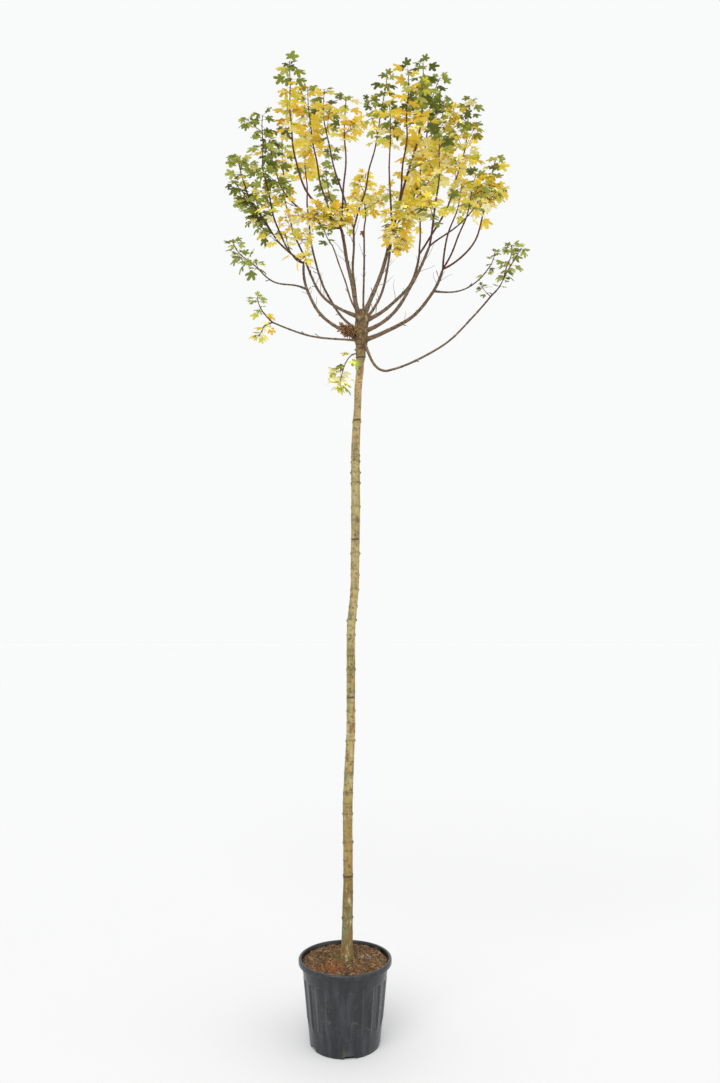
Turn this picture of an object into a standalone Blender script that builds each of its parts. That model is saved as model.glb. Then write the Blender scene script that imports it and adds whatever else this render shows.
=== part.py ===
# Field maple, a top-grafted standard tree in a black nursery pot.
# Metres, +Z up, the origin at the middle of the pot's flat underside.
# Every node is one closed solid; neighbours stand CLEARANCE apart.

import math
import random
from collections import namedtuple

import bpy
import bmesh
from mathutils import Matrix, Vector
from mathutils.bvhtree import BVHTree

# ---- driving sizes -------------------------------------------------------
CLEARANCE = 0.0003          # gap between neighbouring pieces

POT_HEIGHT = 0.298
POT_BASE_RADIUS = 0.1284
POT_COLLAR_RADIUS = 0.1535  # wall radius at the foot of the plain collar
POT_NECK_RADIUS = 0.1600    # wall radius right under the rolled rim
POT_RIM_RADIUS = 0.1723
POT_RIM_TALL = 0.018
POT_COLLAR_TALL = 0.044
POT_FLOOR = 0.006
POT_BORE_BASE = 0.1235      # radius of the hollow at the floor
POT_BORE_TOP = 0.1535       # radius of the hollow 28 mm below the rim
FLUTE_COUNT = 22
FLUTE_RISE = 0.0022         # how far a rib stands out of the wall
FLUTE_FOOT = 0.062          # height where the ribs fade out
DRAIN_COUNT = 5
DRAIN_WIDE = 0.040
DRAIN_TALL = 0.009
DRAIN_FIRST_DEG = -81.0

SOIL_LEVEL = 0.288          # top of the compost, where the trunk is cut flat
SOIL_ROUGH = 0.0035

TRUNK_SIDES = 10
TRUNK_RING = 0.072          # height between two rings of the bark
TRUNK_SWELL = 0.055         # node swellings, a share of the radius
HEAD_TOP = 2.776            # top of the grafted head
# height, sideways place and radius of the trunk's axis, foot to head
TrunkKnot = namedtuple("TrunkKnot", "height across radius")
TRUNK_COURSE = (
    TrunkKnot(0.288, 0.0062, 0.0255),
    TrunkKnot(0.330, 0.0068, 0.0208),
    TrunkKnot(0.440, 0.0084, 0.0193),
    TrunkKnot(0.560, 0.0100, 0.0176),
    TrunkKnot(0.830, 0.0086, 0.0180),
    TrunkKnot(1.155, 0.0200, 0.0160),
    TrunkKnot(1.474, 0.0196, 0.0156),
    TrunkKnot(1.694, 0.0350, 0.0158),
    TrunkKnot(1.960, 0.0378, 0.0170),
    TrunkKnot(2.190, 0.0370, 0.0165),
    TrunkKnot(2.430, 0.0466, 0.0137),
    TrunkKnot(2.545, 0.0553, 0.0146),
    TrunkKnot(2.590, 0.0580, 0.0196),
    TrunkKnot(2.640, 0.0600, 0.0224),
    TrunkKnot(2.710, 0.0612, 0.0246),
    TrunkKnot(2.750, 0.0613, 0.0240),
    TrunkKnot(2.768, 0.0613, 0.0170),
)

BOUGH_SIDES = 6
BOUGH_RINGS = 9
BEND = 0.38                 # handle length of every limb's curve, a share of its chord
ROOT_FLARE = 0.18           # extra radius of a bough where it leaves the head
ROOT_FLARE_REACH = 0.030

# A limb leaves its start on a compass heading (0 = +X, 90 = +Y, away from the front),
# at a rise above level, and ends `reach` further out at height `top`, at `tip_rise`.
Bough = namedtuple("Bough", "name heading root rise reach top tip_rise thick thin")
BOUGHS = (
    Bough("left_low", 203, 2.646, -5, 0.357, 2.664, 18, 0.0046, 0.0031),
    Bough("left_outer", 175, 2.649, 22, 0.234, 2.964, 92, 0.0076, 0.0050),
    Bough("left_upper", 161, 2.742, 17, 0.248, 3.024, 75, 0.0068, 0.0042),
    Bough("left_rear", 135, 2.676, 36, 0.310, 3.174, 76, 0.0056, 0.0040),
    Bough("front_short", 242, 2.754, -5, 0.226, 2.933, 38, 0.0038, 0.0025),
    Bough("centre_left", 195, 2.711, 72, 0.080, 3.079, 78, 0.0095, 0.0060),
    Bough("rear_left", 112, 2.735, 47, 0.086, 3.141, 92, 0.0062, 0.0042),
    Bough("rear", 87, 2.700, 24, 0.220, 3.135, 92, 0.0052, 0.0038),
    Bough("centre_right", 334, 2.732, 59, 0.137, 3.072, 74, 0.0095, 0.0060),
    Bough("right_rear", 56, 2.728, 32, 0.218, 3.104, 77, 0.0062, 0.0043),
    Bough("right_upper", 19, 2.719, 30, 0.250, 3.031, 83, 0.0076, 0.0050),
    Bough("right_front", 335, 2.681, 4, 0.286, 2.970, 64, 0.0080, 0.0050),
    Bough("right_outer", 3.5, 2.645, 17, 0.327, 2.940, 73, 0.0088, 0.0054),
    Bough("right_drooping", 333, 2.648, -47, 0.111, 2.506, -5, 0.0060, 0.0048),
)
# Limbs that start on another bough, `at` a share of its course.
Branch = namedtuple("Branch", "name parent at heading rise reach top tip_rise thick thin")
BRANCHES = (
    Branch("right_sweeping", "right_drooping", 1.0, 353, 12, 0.393, 2.772, 50, 0.0047, 0.0034),
    Branch("left_side", "left_outer", 0.76, 224, 6, 0.226, 2.864, 30, 0.0036, 0.0027),
    Branch("right_side", "right_outer", 0.81, 22, -2, 0.219, 2.945, 45, 0.0036, 0.0026),
)

# Shoots inside the foliage. `parent` is "tip" for the end of the mass's own bough,
# `bare` the leafless share at the foot, `leaf` the leaf size against the largest.
Shoot = namedtuple("Shoot", "name parent at heading rise reach top tip_rise thick bare leaf")
MASSES = {
    "left_low": (
        Shoot("climbing", "tip", 0, 164, 33, 0.073, 2.792, 70, 0.0026, 0.10, 0.72),
        Shoot("hanging", "tip", 0, 231, -17, 0.077, 2.573, -79, 0.0024, 0.20, 0.72),
    ),
    "left_outer": (
        Shoot("outer", "tip", 0, 169, 38, 0.323, 3.373, 46, 0.0036, 0.36, 0.92),
        Shoot("inner", "outer", 0.17, 244, 29, 0.203, 3.526, 97, 0.0032, 0.20, 0.95),
        Shoot("middle", "outer", 0.40, 200, 50, 0.150, 3.440, 85, 0.0028, 0.30, 0.95),
        Shoot("low", "tip", 0, 208, -5, 0.085, 3.109, 82, 0.0022, 0.40, 0.90),
    ),
    "left_upper": (
        Shoot("leader", "tip", 0, 117, 49, 0.247, 3.756, 98, 0.0036, 0.36, 0.95),
    ),
    "left_rear": (
        Shoot("leader", "tip", 0, 102, 66, 0.204, 3.791, 78, 0.0036, 0.56, 1.05),
    ),
    "front_short": (
        Shoot("leader", "tip", 0, 200, 45, 0.040, 3.016, 75, 0.0020, 0.10, 0.65),
    ),
    "centre_left": (
        Shoot("stem", "tip", 0, 258, 86, 0.041, 3.123, 84, 0.0052, 0.90, 1.00),
        Shoot("left", "stem", 0.92, 204, 17, 0.222, 3.771, 85, 0.0040, 0.50, 1.00),
        Shoot("middle", "left", 0.06, 122, 65, 0.205, 3.826, 86, 0.0036, 0.52, 1.02),
        Shoot("front", "stem", 0.92, 280, 8, 0.161, 3.579, 60, 0.0036, 0.60, 1.00),
        Shoot("far_left", "stem", 0.30, 200, -8, 0.285, 3.400, 97, 0.0034, 0.52, 0.95),
    ),
    "rear_left": (
        Shoot("left", "tip", 0, 207, 70, 0.133, 3.757, 97, 0.0036, 0.62, 1.00),
        Shoot("right", "tip", 0, 34, 72, 0.178, 3.910, 80, 0.0036, 0.56, 0.95),
        Shoot("rear", "left", 0.12, 105, 37, 0.428, 3.675, 93, 0.0032, 0.56, 0.95),
    ),
    "rear": (
        Shoot("leader", "tip", 0, 88, 62, 0.220, 3.627, 97, 0.0034, 0.58, 0.95),
    ),
    "centre_right": (
        Shoot("leader", "tip", 0, 341, 75, 0.122, 3.790, 96, 0.0042, 0.07, 1.05),
        Shoot("front", "leader", 0.12, 280, 50, 0.174, 3.660, 97, 0.0034, 0.12, 1.00),
        Shoot("left", "tip", 0, 259, 12, 0.099, 3.571, 60, 0.0034, 0.10, 1.00),
        Shoot("low", "tip", 0, 285, 8, 0.060, 2.995, -60, 0.0022, 0.15, 1.00),
    ),
    "right_rear": (
        Shoot("rear", "tip", 0, 48, 74, 0.364, 3.709, 75, 0.0038, 0.20, 1.00),
        Shoot("leader", "rear", 0.37, 322, 50, 0.203, 3.901, 50, 0.0030, 0.10, 1.10),
    ),
    "right_upper": (
        Shoot("left", "tip", 0, 82, 56, 0.110, 3.570, 92, 0.0034, 0.38, 1.00),
        Shoot("leader", "tip", 0, 15, 56, 0.236, 3.788, 86, 0.0038, 0.36, 1.08),
    ),
    "right_front": (
        Shoot("leader", "tip", 0, 289, 59, 0.106, 3.396, 86, 0.0036, 0.32, 1.00),
        Shoot("side", "tip", 0, 326, 28, 0.216, 3.141, 92, 0.0030, 0.62, 1.00),
    ),
    "right_outer": (
        Shoot("rear", "tip", 0, 47, 88, 0.136, 3.402, 91, 0.0036, 0.60, 0.95),
        Shoot("front", "tip", 0, 329, 54, 0.156, 3.345, 78, 0.0034, 0.56, 0.95),
        Shoot("outer", "tip", 0, 355, 22, 0.229, 3.438, 71, 0.0036, 0.44, 0.98),
    ),
    "right_sweeping": (
        Shoot("stem", "tip", 0, 342, 50, 0.064, 2.861, 61, 0.0030, 0.50, 0.60),
        Shoot("outer", "stem", 0.96, 327, 60, 0.090, 2.966, 42, 0.0024, 0.12, 0.70),
        Shoot("inner", "stem", 0.96, 52, 61, 0.077, 3.031, 82, 0.0024, 0.20, 0.70),
    ),
    "left_side": (
        Shoot("leader", "tip", 0, 210, 38, 0.119, 2.980, 84, 0.0022, 0.06, 0.66),
    ),
    "right_side": (
        Shoot("leader", "tip", 0, 33, 44, 0.074, 3.088, 92, 0.0022, 0.20, 0.60),
    ),
}
STEM_LENGTH = 0.016         # stub that meets a bough's tip and carries the shoots
# a young twig low on the bole, out of the bark itself
TWIG_HEIGHT = 2.590
TWIG_HEADING = 212.0
TWIG_REACH = 0.108
TWIG_TOP = 2.432

# ---- growth of the foliage ----------------------------------------------
SEED = 41
SHOOT_SIDES = 3
SHOOT_STEP = 0.085          # length between two rings of a shoot
SHOOT_TIP_RADIUS = 0.0011
INTERNODE = 0.068           # between two leaf pairs, shrinking to the tip
INTERNODE_SHRINK = 0.48
FIRST_PAIR = 0.020          # least bare length at the foot of a shoot
TIP_LEAF = 0.045            # the last of a shoot's course is leaf, not wood
SIDE_TWIG_EVERY = 6
SIDE_TWIG_LENGTH = 0.09
LEAF_LENGTH = 0.092         # stalk and blade together, low on a shoot
LEAF_LENGTH_TIP = 0.074
LEAF_THICK = 0.0016
LEAF_APEX = 0.36            # where the blade is thickest, a share of its length
LEAF_LOBE = (0.60, 0.335)   # side lobe's tip, along and across
LEAF_NOTCH = (0.73, 0.130)
PLAIN_LEAF = 0.074          # a shorter leaf is a plain kite
LEAF_CLEAR = 0.0025         # room kept round every leaf
LEAF_TRIES = 4

# ---- colours -------------------------------------------------------------
POT_COLOUR = (0.030, 0.036, 0.042)
SOIL_COLOUR = (0.145, 0.066, 0.032)
BARK_COLOUR = (0.235, 0.195, 0.105)
LIMB_COLOUR = (0.150, 0.105, 0.065)
SPUR_COLOUR = (0.100, 0.062, 0.036)
GOLD_COLOUR = (0.610, 0.430, 0.095)
GREEN_COLOUR = (0.260, 0.290, 0.070)
GREEN_MASSES = ("front_short", "rear", "right_side", "right_sweeping", "left_side")


def clear_scene():
    for thing in list(bpy.data.objects):
        bpy.data.objects.remove(thing, do_unlink=True)


def make_material(name, colour, roughness):
    material = bpy.data.materials.new(name)
    material.use_nodes = True
    shader = material.node_tree.nodes["Principled BSDF"]
    shader.inputs["Base Color"].default_value = (*colour, 1.0)
    shader.inputs["Roughness"].default_value = roughness
    material.diffuse_color = (*colour, 1.0)
    return material


def make_object(name, verts, faces, collection):
    mesh = bpy.data.meshes.new(name)
    mesh.from_pydata([tuple(v) for v in verts], [], faces)
    mesh.update()
    thing = bpy.data.objects.new(name, mesh)
    collection.objects.link(thing)
    return thing


def smooth(thing, degrees=40.0):
    for face in thing.data.polygons:
        face.use_smooth = True
    thing.data.set_sharp_from_angle(angle=math.radians(degrees))


def finish(thing, name, material, degrees=40.0):
    thing.name = name
    thing.data.name = name
    thing.data.materials.clear()
    thing.data.materials.append(material)
    smooth(thing, degrees)


def direction(heading, rise):
    level = math.cos(math.radians(rise))
    return Vector((
        math.cos(math.radians(heading)) * level,
        math.sin(math.radians(heading)) * level,
        math.sin(math.radians(rise)),
    ))


def bezier(ends, count):
    a, b, c, d = ends
    path = []
    for k in range(count):
        t = k / (count - 1)
        s = 1.0 - t
        path.append(a * s ** 3 + b * (3 * s * s * t) + c * (3 * s * t * t) + d * t ** 3)
    return path


def limb_path(start, row, count):
    """The limb's centre line: it bends in the upright plane of its heading."""
    out = direction(row.heading, 0.0)
    end = Vector((start.x, start.y, row.top)) + out * row.reach
    handle = BEND * (end - start).length
    first = direction(row.heading, row.rise)
    last = direction(row.heading, row.tip_rise)
    return bezier((start, start + first * handle, end - last * handle, end), count)


def tangents(path):
    result = []
    for k in range(len(path)):
        ahead = path[min(k + 1, len(path) - 1)]
        behind = path[max(k - 1, 0)]
        result.append((ahead - behind).normalized())
    return result


def tube_mesh(path, radii, sides, first=None, last=None, turn=0.0):
    """Rings round a centre line, carried along it without twist, with flat ends."""
    along = tangents(path)
    if first is not None:
        along[0] = first.normalized()
    if last is not None:
        along[-1] = last.normalized()
    side = along[0].orthogonal().normalized()
    verts = []
    for k, centre in enumerate(path):
        side = (side - along[k] * side.dot(along[k])).normalized()
        other = along[k].cross(side)
        for j in range(sides):
            angle = turn + 2.0 * math.pi * j / sides
            spoke = side * math.cos(angle) + other * math.sin(angle)
            verts.append(centre + spoke * radii[k])
    faces = [tuple(reversed(range(sides)))]
    for k in range(len(path) - 1):
        for j in range(sides):
            low = k * sides
            high = low + sides
            n = (j + 1) % sides
            faces.append((low + j, low + n, high + n, high + j))
    top = (len(path) - 1) * sides
    faces.append(tuple(range(top, top + sides)))
    return verts, faces


def run_boolean(thing, operation, operand=None, collection=None, solver="EXACT"):
    """Applies one Boolean and swaps the result in as the object's mesh."""
    step = thing.modifiers.new("join", "BOOLEAN")
    step.operation = operation
    step.solver = solver
    if collection is not None:
        step.operand_type = "COLLECTION"
        step.collection = collection
    else:
        step.object = operand
    graph = bpy.context.evaluated_depsgraph_get()
    mesh = bpy.data.meshes.new_from_object(thing.evaluated_get(graph))
    thing.modifiers.clear()
    old = thing.data
    thing.data = mesh
    bpy.data.meshes.remove(old)


def keep_outer_body(thing):
    """Welds the seams, then keeps the largest skin: scraps and sealed hollows go."""
    work = bmesh.new()
    work.from_mesh(thing.data)
    bmesh.ops.remove_doubles(work, verts=work.verts, dist=1e-6)
    bmesh.ops.triangulate(work, faces=work.faces)
    bmesh.ops.dissolve_degenerate(work, dist=1e-6, edges=work.edges)
    left = set(work.faces)
    bodies = []
    while left:
        seed = left.pop()
        body = {seed}
        front = [seed]
        while front:
            face = front.pop()
            for edge in face.edges:
                for near in edge.link_faces:
                    if near in left:
                        left.discard(near)
                        body.add(near)
                        front.append(near)
        bodies.append(body)
    bodies.sort(key=len, reverse=True)
    spare = [face for body in bodies[1:] for face in body]
    if spare:
        bmesh.ops.delete(work, geom=spare, context="FACES")
    loose = [v for v in work.verts if not v.link_faces]
    bmesh.ops.delete(work, geom=loose, context="VERTS")
    bmesh.ops.recalc_face_normals(work, faces=work.faces)
    work.to_mesh(thing.data)
    work.free()


# ---- pot and compost -----------------------------------------------------
def lathe(rings, count, ribbed):
    """Bridges rings (radius, height, rib share) from the underside round to the floor."""
    verts = []
    for radius, height, rib in rings:
        for k in range(count):
            ridge = 1.0 if ribbed and k % 3 == 0 else 0.0
            size = radius + FLUTE_RISE * rib * (ridge - 0.33)
            angle = 2.0 * math.pi * k / count
            verts.append((size * math.cos(angle), size * math.sin(angle), height))
    faces = [tuple(reversed(range(count)))]
    for k in range(len(rings) - 1):
        for j in range(count):
            n = (j + 1) % count
            low = k * count
            high = low + count
            faces.append((low + j, low + n, high + n, high + j))
    top = (len(rings) - 1) * count
    faces.append(tuple(range(top, top + count)))
    return verts, faces


def make_pot(parts, cutters):
    rim_foot = POT_HEIGHT - POT_RIM_TALL
    collar_foot = rim_foot - POT_COLLAR_TALL
    wall = (POT_COLLAR_RADIUS - POT_BASE_RADIUS) / collar_foot
    rings = (
        (POT_BASE_RADIUS - 0.0020, 0.0, 0.0),
        (POT_BASE_RADIUS, 0.0025, 0.0),
        (POT_BASE_RADIUS + wall * FLUTE_FOOT, FLUTE_FOOT, 0.0),
        (POT_BASE_RADIUS + wall * 0.085, 0.085, 1.0),
        (POT_COLLAR_RADIUS - 0.0025, collar_foot - 0.003, 1.0),
        (POT_COLLAR_RADIUS, collar_foot, 0.0),
        (POT_NECK_RADIUS, rim_foot - 0.001, 0.0),
        (POT_RIM_RADIUS - 0.0012, rim_foot, 0.0),
        (POT_RIM_RADIUS, POT_HEIGHT - 0.006, 0.0),
        (POT_RIM_RADIUS - 0.0030, POT_HEIGHT, 0.0),
        (POT_RIM_RADIUS - 0.0075, POT_HEIGHT, 0.0),
        (POT_RIM_RADIUS - 0.0123, POT_HEIGHT - 0.008, 0.0),
        (POT_BORE_TOP, POT_HEIGHT - 0.028, 0.0),
        (POT_BORE_BASE, POT_FLOOR, 0.0),
    )
    verts, faces = lathe(rings, FLUTE_COUNT * 3, True)
    pot = make_object("pot", verts, faces, parts)
    for k in range(DRAIN_COUNT):
        angle = math.radians(DRAIN_FIRST_DEG + 360.0 * k / DRAIN_COUNT)
        near = POT_BASE_RADIUS - 0.012
        far = POT_BASE_RADIUS + 0.012
        half = DRAIN_WIDE / 2.0
        box = []
        for height, pinch in ((-0.004, 1.0), (DRAIN_TALL, 0.82)):
            for reach, side in ((near, -1), (far, -1), (far, 1), (near, 1)):
                box.append((reach, side * half * pinch, height))
        turn = Matrix.Rotation(angle, 3, "Z")
        sides = [(3, 2, 1, 0), (4, 5, 6, 7), (0, 1, 5, 4), (1, 2, 6, 5), (2, 3, 7, 6), (3, 0, 4, 7)]
        cutter = make_object(f"drain_cutter_{k}", [turn @ Vector(v) for v in box], sides, cutters)
        cutter.hide_render = True
        cutter.display_type = "WIRE"
        run_boolean(pot, "DIFFERENCE", operand=cutter)
    keep_outer_body(pot)
    return pot


def make_soil(parts):
    count = 36
    chooser = random.Random(SEED + 7)
    slope = (POT_BORE_TOP - POT_BORE_BASE) / (POT_HEIGHT - 0.028 - POT_FLOOR)
    foot = POT_BORE_BASE - CLEARANCE * 1.5
    shoulder = POT_HEIGHT - 0.028
    edge = SOIL_LEVEL - 0.002
    lip = (POT_RIM_RADIUS - 0.0123 - POT_BORE_TOP) / 0.020
    rings = [
        (foot, POT_FLOOR + CLEARANCE, 0.0),
        (foot + slope * (shoulder - POT_FLOOR), shoulder, 0.0),
        (POT_BORE_TOP + lip * (edge - shoulder) - CLEARANCE * 3.0, edge, 0.2),
        (0.128, SOIL_LEVEL - 0.001, 1.0),
        (0.096, SOIL_LEVEL + 0.001, 1.0),
        (0.062, SOIL_LEVEL, 0.7),
        (0.036, SOIL_LEVEL, 0.0),
    ]
    verts = []
    for k, (radius, height, rough) in enumerate(rings):
        across = TRUNK_COURSE[0].across if k == len(rings) - 1 else 0.0
        for j in range(count):
            angle = 2.0 * math.pi * j / count
            lift = chooser.uniform(-1.0, 1.0) * SOIL_ROUGH * rough
            verts.append((
                across + radius * math.cos(angle), radius * math.sin(angle), height + lift,
            ))
    faces = [tuple(reversed(range(count)))]
    for k in range(len(rings) - 1):
        for j in range(count):
            n = (j + 1) % count
            low = k * count
            high = low + count
            faces.append((low + j, low + n, high + n, high + j))
    top = (len(rings) - 1) * count
    faces.append(tuple(range(top, top + count)))
    return make_object("soil", verts, faces, parts)


# ---- trunk ---------------------------------------------------------------
def trunk_at(height):
    """Sideways place and radius of the trunk at a height, eased between its knots."""
    knots = TRUNK_COURSE
    height = min(max(height, knots[0].height), knots[-1].height)
    for low, high in zip(knots, knots[1:]):
        if height <= high.height:
            break
    share = (height - low.height) / (high.height - low.height)
    ease = share * share * (3.0 - 2.0 * share)
    return (
        low.across + (high.across - low.across) * ease,
        low.radius + (high.radius - low.radius) * ease,
    )


def trunk_mesh(extra):
    """The bole: swollen at every old node, flared and lobed at the foot, knobbed on top."""
    chooser = random.Random(SEED)
    heights = [SOIL_LEVEL + CLEARANCE, SOIL_LEVEL + 0.012, SOIL_LEVEL + 0.030]
    height = SOIL_LEVEL + 0.030 + TRUNK_RING
    while height < 2.535:
        heights.append(height)
        height += TRUNK_RING * chooser.uniform(0.85, 1.15)
    heights += [2.560, 2.600, 2.640, 2.685, 2.725, 2.752, 2.768]
    verts = []
    for k, level in enumerate(heights):
        across, radius = trunk_at(level)
        swell = 1.0
        if 3 <= k < len(heights) - 7:
            swell += TRUNK_SWELL * (1 if k % 2 else -0.4) * chooser.uniform(0.5, 1.0)
        for j in range(TRUNK_SIDES):
            angle = 2.0 * math.pi * j / TRUNK_SIDES
            lobes = 0.10 * math.cos(3.0 * angle + 0.7)
            lobes *= math.exp(-(level - SOIL_LEVEL) / 0.025)
            size = radius * swell * (1.0 + lobes) + extra
            low = -extra if k == 0 else (extra if level > 2.74 else 0.0)
            verts.append((
                across + size * math.cos(angle), size * math.sin(angle), level + low,
            ))
    count = TRUNK_SIDES
    faces = [tuple(reversed(range(count)))]
    for k in range(len(heights) - 1):
        for j in range(count):
            n = (j + 1) % count
            low = k * count
            high = low + count
            faces.append((low + j, low + n, high + n, high + j))
    verts.append((trunk_at(HEAD_TOP)[0], 0.0, HEAD_TOP + extra))
    top = (len(heights) - 1) * count
    for j in range(count):
        faces.append((top + j, top + (j + 1) % count, len(verts) - 1))
    return verts, faces


# ---- boughs --------------------------------------------------------------
def bough_radii(path, row, flare, extra):
    run = 0.0
    total = sum((b - a).length for a, b in zip(path, path[1:]))
    radii = []
    for k, point in enumerate(path):
        if k:
            run += (point - path[k - 1]).length
        size = row.thick + (row.thin - row.thick) * (run / total) ** 0.75
        size *= 1.0 + flare * math.exp(-max(run - 0.020, 0.0) / ROOT_FLARE_REACH)
        radii.append(size + extra)
    return radii


def limb_paths():
    """Centre line of every bough and branch, keyed by name."""
    paths = {}
    for row in BOUGHS:
        across = trunk_at(row.root)[0]
        paths[row.name] = limb_path(Vector((across, 0.0, row.root)), row, BOUGH_RINGS)
    for row in BRANCHES:
        parent = paths[row.parent]
        place = row.at * (len(parent) - 1)
        k = min(int(place), len(parent) - 2)
        start = parent[k].lerp(parent[k + 1], place - k)
        paths[row.name] = limb_path(start, row, BOUGH_RINGS)
    return paths


def limb_mesh(row, paths, extra):
    path = list(paths[row.name])
    first = None
    last = None
    flare = ROOT_FLARE
    if row.name == "right_sweeping":
        elbow = tangents(paths["right_drooping"])[-1]
        first = (elbow + tangents(path)[0]).normalized()
        path[0] = path[0] + first * CLEARANCE / 2.0
        flare = 0.0
    if row.name == "right_drooping":
        last = (tangents(path)[-1] + tangents(paths["right_sweeping"])[0]).normalized()
        path[-1] = path[-1] - last * CLEARANCE / 2.0
    radii = bough_radii(path, row, flare, extra)
    if extra:
        ends = tangents(path)
        path[0] = path[0] - ends[0] * extra
        path[-1] = path[-1] + ends[-1] * extra
    return tube_mesh(path, radii, BOUGH_SIDES, first, last)


def make_limbs(parts, cutters, paths):
    """Every bough starts inside the head; a fattened copy of the bole trims its root."""
    verts, faces = trunk_mesh(CLEARANCE)
    trimmer = make_object("trunk_cutter", verts, faces, cutters)
    trimmer.hide_render = True
    trimmer.display_type = "WIRE"
    made = {}
    for row in BOUGHS:
        verts, faces = limb_mesh(row, paths, 0.0)
        limb = make_object("bough_" + row.name, verts, faces, parts)
        run_boolean(limb, "DIFFERENCE", operand=trimmer)
        keep_outer_body(limb)
        made[row.name] = limb
    for row in BRANCHES:
        verts, faces = limb_mesh(row, paths, 0.0)
        limb = make_object("bough_" + row.name, verts, faces, parts)
        if row.at < 1.0:
            parent = next(r for r in BOUGHS if r.name == row.parent)
            verts, faces = limb_mesh(parent, paths, CLEARANCE)
            fat = make_object("parent_cutter_" + row.name, verts, faces, cutters)
            fat.hide_render = True
            fat.display_type = "WIRE"
            run_boolean(limb, "DIFFERENCE", operand=fat)
            keep_outer_body(limb)
        made[row.name] = limb
    return made, trimmer


# ---- spur cluster --------------------------------------------------------
SPUR_HEADING = 206.0
SPUR_HEIGHT = 2.678
SPUR_REACH = 0.074          # end of the knobbly core, from the head's axis
SPUR_RADIUS = 0.0100
SCALE_COUNT = 11
SCALE_LENGTH = 0.019
SCALE_RADIUS = 0.0044


def make_spurs(parts, trimmer, limbs):
    """A knobbly core bristling with old cut stubs and bud scales, left of the head."""
    chooser = random.Random(SEED + 3)
    across = trunk_at(SPUR_HEIGHT)[0]
    out = direction(SPUR_HEADING, 0.0)
    axis = Vector((across, 0.0, SPUR_HEIGHT))
    start = axis + out * 0.016
    end = axis + out * SPUR_REACH
    path = [start.lerp(end, share) for share in (0.0, 0.35, 0.6, 0.85, 1.0)]
    sizes = [SPUR_RADIUS * s for s in (1.0, 0.75, 1.1, 0.95, 0.45)]
    verts, faces = tube_mesh(path, sizes, 6)
    base = make_object("spur_core", verts, faces, parts)
    joined = bpy.data.collections.new("spur_stubs")
    walls = []
    for limb in limbs.values():
        walls.append(BVHTree.FromPolygons(
            [v.co for v in limb.data.vertices], [tuple(f.vertices) for f in limb.data.polygons],
        ))
    for k in range(SCALE_COUNT):
        share = 0.28 + 0.72 * k / (SCALE_COUNT - 1)
        foot = start.lerp(end, share)
        round_the_core = math.radians(137.5 * k)
        spoke = Vector((0.0, 0.0, 1.0)) * math.cos(round_the_core)
        spoke += out.cross(Vector((0.0, 0.0, 1.0))) * math.sin(round_the_core)
        ahead = (spoke + out * chooser.uniform(0.1, 0.9)).normalized()
        reach = SPUR_RADIUS * 0.7 + SCALE_LENGTH * chooser.uniform(0.55, 1.0)
        tip = foot + ahead * reach
        verts, faces = tube_mesh(
            [foot, foot.lerp(tip, 0.6), tip],
            [SCALE_RADIUS, SCALE_RADIUS * 0.85, SCALE_RADIUS * 0.3], 3, turn=0.4 * k,
        )
        probe = BVHTree.FromPolygons(
            [foot + (Vector(v) - foot) * 1.15 for v in verts], faces,
        )
        if any(wall.overlap(probe) for wall in walls):
            continue
        make_object(f"spur_{k}", verts, faces, joined)
    run_boolean(base, "UNION", collection=joined)
    for stub in list(joined.objects):
        bpy.data.objects.remove(stub, do_unlink=True)
    bpy.data.collections.remove(joined)
    run_boolean(base, "DIFFERENCE", operand=trimmer)
    keep_outer_body(base)
    return base


# ---- foliage -------------------------------------------------------------
def leaf_mesh(root, along, across, length, plain, grow=0.0, skip=0.0):
    """A flat lobed blade on a wedge of stalk; `grow` fattens it, `skip` bares its root."""
    face = along.cross(across).normalized()
    outline = [(skip, 0.0), (LEAF_LOBE[0], -LEAF_LOBE[1]), (1.0, 0.0), LEAF_LOBE]
    if not plain:
        outline.insert(2, (LEAF_NOTCH[0], -LEAF_NOTCH[1]))
        outline.insert(4, LEAF_NOTCH)
    verts = []
    for ahead, side in outline:
        point = root + along * (ahead * length) + across * (side * length)
        if grow and ahead > skip:
            centre = root + along * (0.62 * length)
            point += (point - centre).normalized() * grow
        verts.append(point)
    middle = root + along * (max(LEAF_APEX, skip + 0.1) * length)
    verts.append(middle + face * (LEAF_THICK / 2.0 + grow))
    verts.append(middle - face * (LEAF_THICK / 2.0 + grow))
    rim = len(outline)
    faces = []
    for k in range(rim):
        n = (k + 1) % rim
        faces.append((k, n, rim))
        faces.append((n, k, rim + 1))
    return verts, faces


def path_point(path, share):
    """Point and direction at a share of a centre line's length."""
    spans = [(b - a).length for a, b in zip(path, path[1:])]
    goal = share * sum(spans)
    for k, span in enumerate(spans):
        if goal <= span or k == len(spans) - 1:
            part = min(goal / span, 1.0)
            return path[k].lerp(path[k + 1], part), (path[k + 1] - path[k]).normalized()
        goal -= span
    return path[-1], (path[-1] - path[-2]).normalized()


def path_length(path):
    return sum((b - a).length for a, b in zip(path, path[1:]))


def shoot_radius(row_thick, share):
    return row_thick + (SHOOT_TIP_RADIUS - row_thick) * share ** 0.8


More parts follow.
